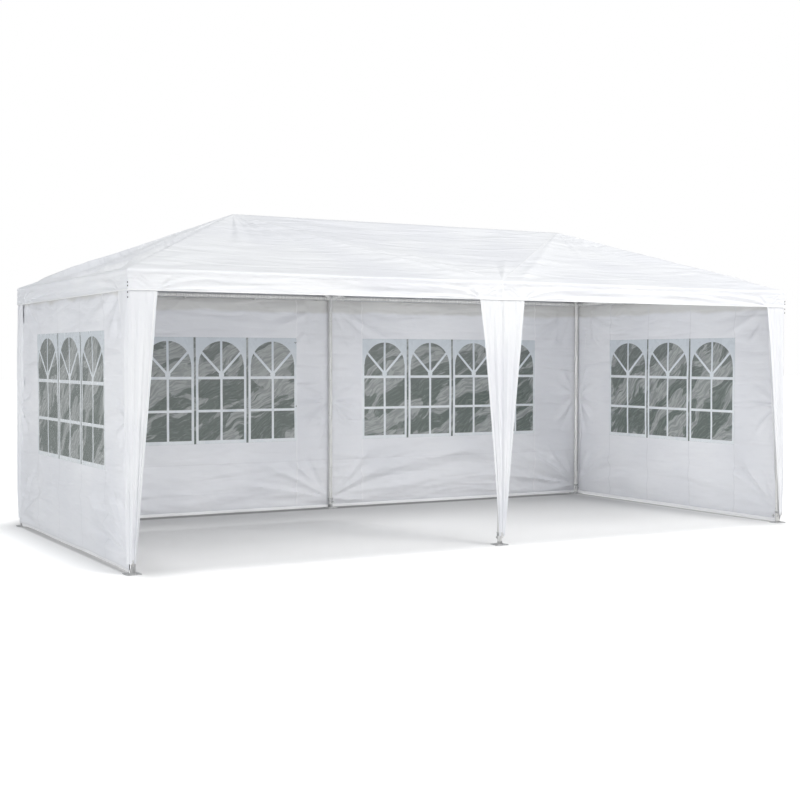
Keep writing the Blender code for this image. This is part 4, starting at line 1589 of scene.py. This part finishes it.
# name: (place, target, size, power, spread, colour)
WHITE = (1.0, 1.0, 1.0)
LIGHTS = {
    "top_light": ((2.0, -6.0, 13.5), (0.0, 0.0, 1.2), (8.0, 6.0), 612, 180, WHITE),
    "key_light": ((4.5, -11.5, 7.6), (0.5, -1.0, 1.2), (5.0, 4.0), 665, 180, (1.0, 0.975, 0.95)),
    "left_light": ((-13.0, -3.0, 0.75), (-3.0, 0.0, 1.1), (5.0, 1.3), 388, 180, WHITE),
    # weak ones inside, for the light that the walls and the roof let through
    "roof_fill": ((0.0, -0.9, 1.05), (0.2, 1.2, 2.2), (5.3, 0.8), 4.2, 180, WHITE),
    "opening_light": ((0.0, -1.33, 1.10), (0.3, 1.5, 1.15), (5.3, 0.8), 4.5, 180, WHITE),
    "floor_light": ((0.0, -0.9, 1.9), (0.0, -0.9, 0.0), (5.2, 0.8), 4.2, 110, WHITE),
    "entrance_light": ((-1.3, -0.8, 1.10), (3.0, 1.2, 0.85), (0.9, 0.7), 7.8, 80, WHITE),
    "right_fill": ((1.5, -0.8, 1.10), (-3.0, 1.4, 0.8), (0.9, 0.7), 2.5, 80, WHITE),
    "low_light": ((-1.5, 0.55, 0.12), (-1.5, 1.5, 0.42), (2.7, 0.2), 1.8, 140, WHITE),
    "low_end_light": ((2.1, -0.2, 0.12), (3.0, -0.2, 0.42), (2.4, 0.2), 0.5, 140, WHITE),
}


def add_light(name, at, target, size, power, spread, colour):
    deselect()
    bpy.ops.object.light_add(type="AREA", location=at)
    lamp = bpy.context.object
    lamp.name = name
    lamp.data.shape = "RECTANGLE"
    lamp.data.size, lamp.data.size_y = size
    lamp.data.energy = power
    lamp.data.spread = math.radians(spread)
    lamp.data.color = colour
    lamp.visible_camera = False
    lamp.rotation_euler = (Vector(target) - Vector(at)).to_track_quat("-Z", "Y").to_euler()


def make_floor():
    deselect()
    bpy.ops.mesh.primitive_grid_add(x_subdivisions=8, y_subdivisions=8, size=FLOOR_SIDE)
    floor = freeze(bpy.context.object)
    floor.name = floor.data.name = "studio_floor"
    floor.data.materials.append(studio_floor("studio_floor", FLOOR_COLOUR))


def make_world():
    """A dim bluish sky, which the camera sees as plain white."""
    world = bpy.data.worlds.new("studio_white")
    bpy.context.scene.world = world
    world.use_nodes = True
    tree = world.node_tree
    tree.nodes.clear()
    skies = []
    for colour, strength in ((SKY_COLOUR, SKY_STRENGTH), ((1, 1, 1, 1), 1.0)):
        sky = tree.nodes.new("ShaderNodeBackground")
        sky.inputs["Color"].default_value = colour
        sky.inputs["Strength"].default_value = strength
        skies.append(sky)
    paths = tree.nodes.new("ShaderNodeLightPath")
    both = tree.nodes.new("ShaderNodeMixShader")
    end = tree.nodes.new("ShaderNodeOutputWorld")
    tree.links.new(paths.outputs["Is Camera Ray"], both.inputs[0])
    tree.links.new(skies[0].outputs[0], both.inputs[1])
    tree.links.new(skies[1].outputs[0], both.inputs[2])
    tree.links.new(both.outputs[0], end.inputs[0])


def make_camera():
    scene = bpy.context.scene
    lens = bpy.data.cameras.new("camera")
    lens.sensor_width = 36.0
    lens.lens = sizes().camera_lens
    camera = bpy.data.objects.new("camera", lens)
    scene.collection.objects.link(camera)
    camera.matrix_world = (
        Matrix.Translation(CAMERA_AT)
        @ Matrix.Rotation(math.radians(-CAMERA_YAW), 4, "Z")
        @ Matrix.Rotation(math.radians(90 + CAMERA_PITCH), 4, "X")
        @ Matrix.Rotation(math.radians(CAMERA_ROLL), 4, "Z")
    )
    scene.camera = camera


def make_stage():
    make_floor()
    make_world()
    for name, settings in LIGHTS.items():
        add_light(name, *settings)
    make_camera()
    bpy.context.scene.view_settings.view_transform = "Standard"


# Operators ---------------------------------------------------------------


class MARQUEE_OT_roof_cover(bpy.types.Operator):
    """Hang the roof cover and its valance over the frame"""

    bl_idname = "marquee.roof_cover"
    bl_label = "Roof cover"
    bl_options = {"REGISTER", "UNDO"}

    def execute(self, context):
        make_roof_cover()
        return {"FINISHED"}


class MARQUEE_OT_drapes(bpy.types.Operator):
    """Hang a drape down each leg"""

    bl_idname = "marquee.drapes"
    bl_label = "Leg drapes"
    bl_options = {"REGISTER", "UNDO"}

    def execute(self, context):
        for number, (place, (side_x, side_y)) in enumerate(STATIONS.items()):
            if side_x:
                make_corner_drape(place, side_x, side_y, 1.0 + number)
            else:
                make_middle_drape(place, side_y, 1.0 + number)
        return {"FINISHED"}


class MARQUEE_OT_walls(bpy.types.Operator):
    """Hang the back walls and the two end walls"""

    bl_idname = "marquee.walls"
    bl_label = "Walls"
    bl_options = {"REGISTER", "UNDO"}

    def execute(self, context):
        for key in WALLS:
            make_wall(key)
        return {"FINISHED"}


class MARQUEE_OT_windows(bpy.types.Operator):
    """Set the clear strips with their printed windows into the walls"""

    bl_idname = "marquee.windows"
    bl_label = "Windows"
    bl_options = {"REGISTER", "UNDO"}

    def execute(self, context):
        back = (BACK_WINDOW_FAR - BACK_WINDOW_NEAR + STRIP_GAP) / 4 - STRIP_GAP
        end = (2 * END_WINDOW_HALF + STRIP_GAP) / 3 - STRIP_GAP
        for width, count, keys in (
            (back, 4, ("back_left", "back_right")), (end, 3, ("left_end", "right_end")),
        ):
            template = make_window_template(width)
            for key in keys:
                make_windows(key, template, count, width)
            bpy.data.objects.remove(template, do_unlink=True)
        return {"FINISHED"}


class MARQUEE_OT_steel(bpy.types.Operator):
    """Finish the tubes and connectors, and set the foot plates"""

    bl_idname = "marquee.steel"
    bl_label = "Tubes and feet"
    bl_options = {"REGISTER", "UNDO"}

    def execute(self, context):
        finish_steel()
        make_bases()
        return {"FINISHED"}


class MARQUEE_OT_ties(bpy.types.Operator):
    """Tie the walls to the rails and the drapes to the feet"""

    bl_idname = "marquee.ties"
    bl_label = "Ties"
    bl_options = {"REGISTER", "UNDO"}

    def execute(self, context):
        make_rail_ties()
        make_drape_ties()
        make_toggles()
        return {"FINISHED"}


class MARQUEE_OT_stage(bpy.types.Operator):
    """Add the floor, the lights and the camera"""

    bl_idname = "marquee.stage"
    bl_label = "Studio"
    bl_options = {"REGISTER", "UNDO"}

    def execute(self, context):
        make_stage()
        return {"FINISHED"}


OPERATORS = (
    MARQUEE_OT_stage,
    MARQUEE_OT_steel,
    MARQUEE_OT_roof_cover,
    MARQUEE_OT_drapes,
    MARQUEE_OT_walls,
    MARQUEE_OT_windows,
    MARQUEE_OT_ties,
)


class MARQUEE_PT_panel(bpy.types.Panel):
    """Settings and building steps of the tent"""

    bl_idname = "MARQUEE_PT_panel"
    bl_label = "Marquee tent"
    bl_space_type = "VIEW_3D"
    bl_region_type = "UI"
    bl_category = "Marquee tent"

    def draw(self, context):
        for group in (context.scene.marquee_sizes, context.scene.marquee_colours):
            box = self.layout.box()
            for key in type(group).__annotations__:
                box.prop(group, key)
        for step in OPERATORS:
            self.layout.operator(step.bl_idname)


CLASSES = (MarqueeSizes, MarqueeColours, *OPERATORS, MARQUEE_PT_panel)


def register():
    for made in CLASSES:
        bpy.utils.register_class(made)
    bpy.types.Scene.marquee_sizes = bpy.props.PointerProperty(type=MarqueeSizes)
    bpy.types.Scene.marquee_colours = bpy.props.PointerProperty(type=MarqueeColours)


def unregister():
    del bpy.types.Scene.marquee_colours
    del bpy.types.Scene.marquee_sizes
    for made in reversed(CLASSES):
        bpy.utils.unregister_class(made)


def main():
    register()
    for step in OPERATORS:
        group, name = step.bl_idname.split(".")
        getattr(getattr(bpy.ops, group), name)()
    deselect()


if __name__ == "__main__":
    main()
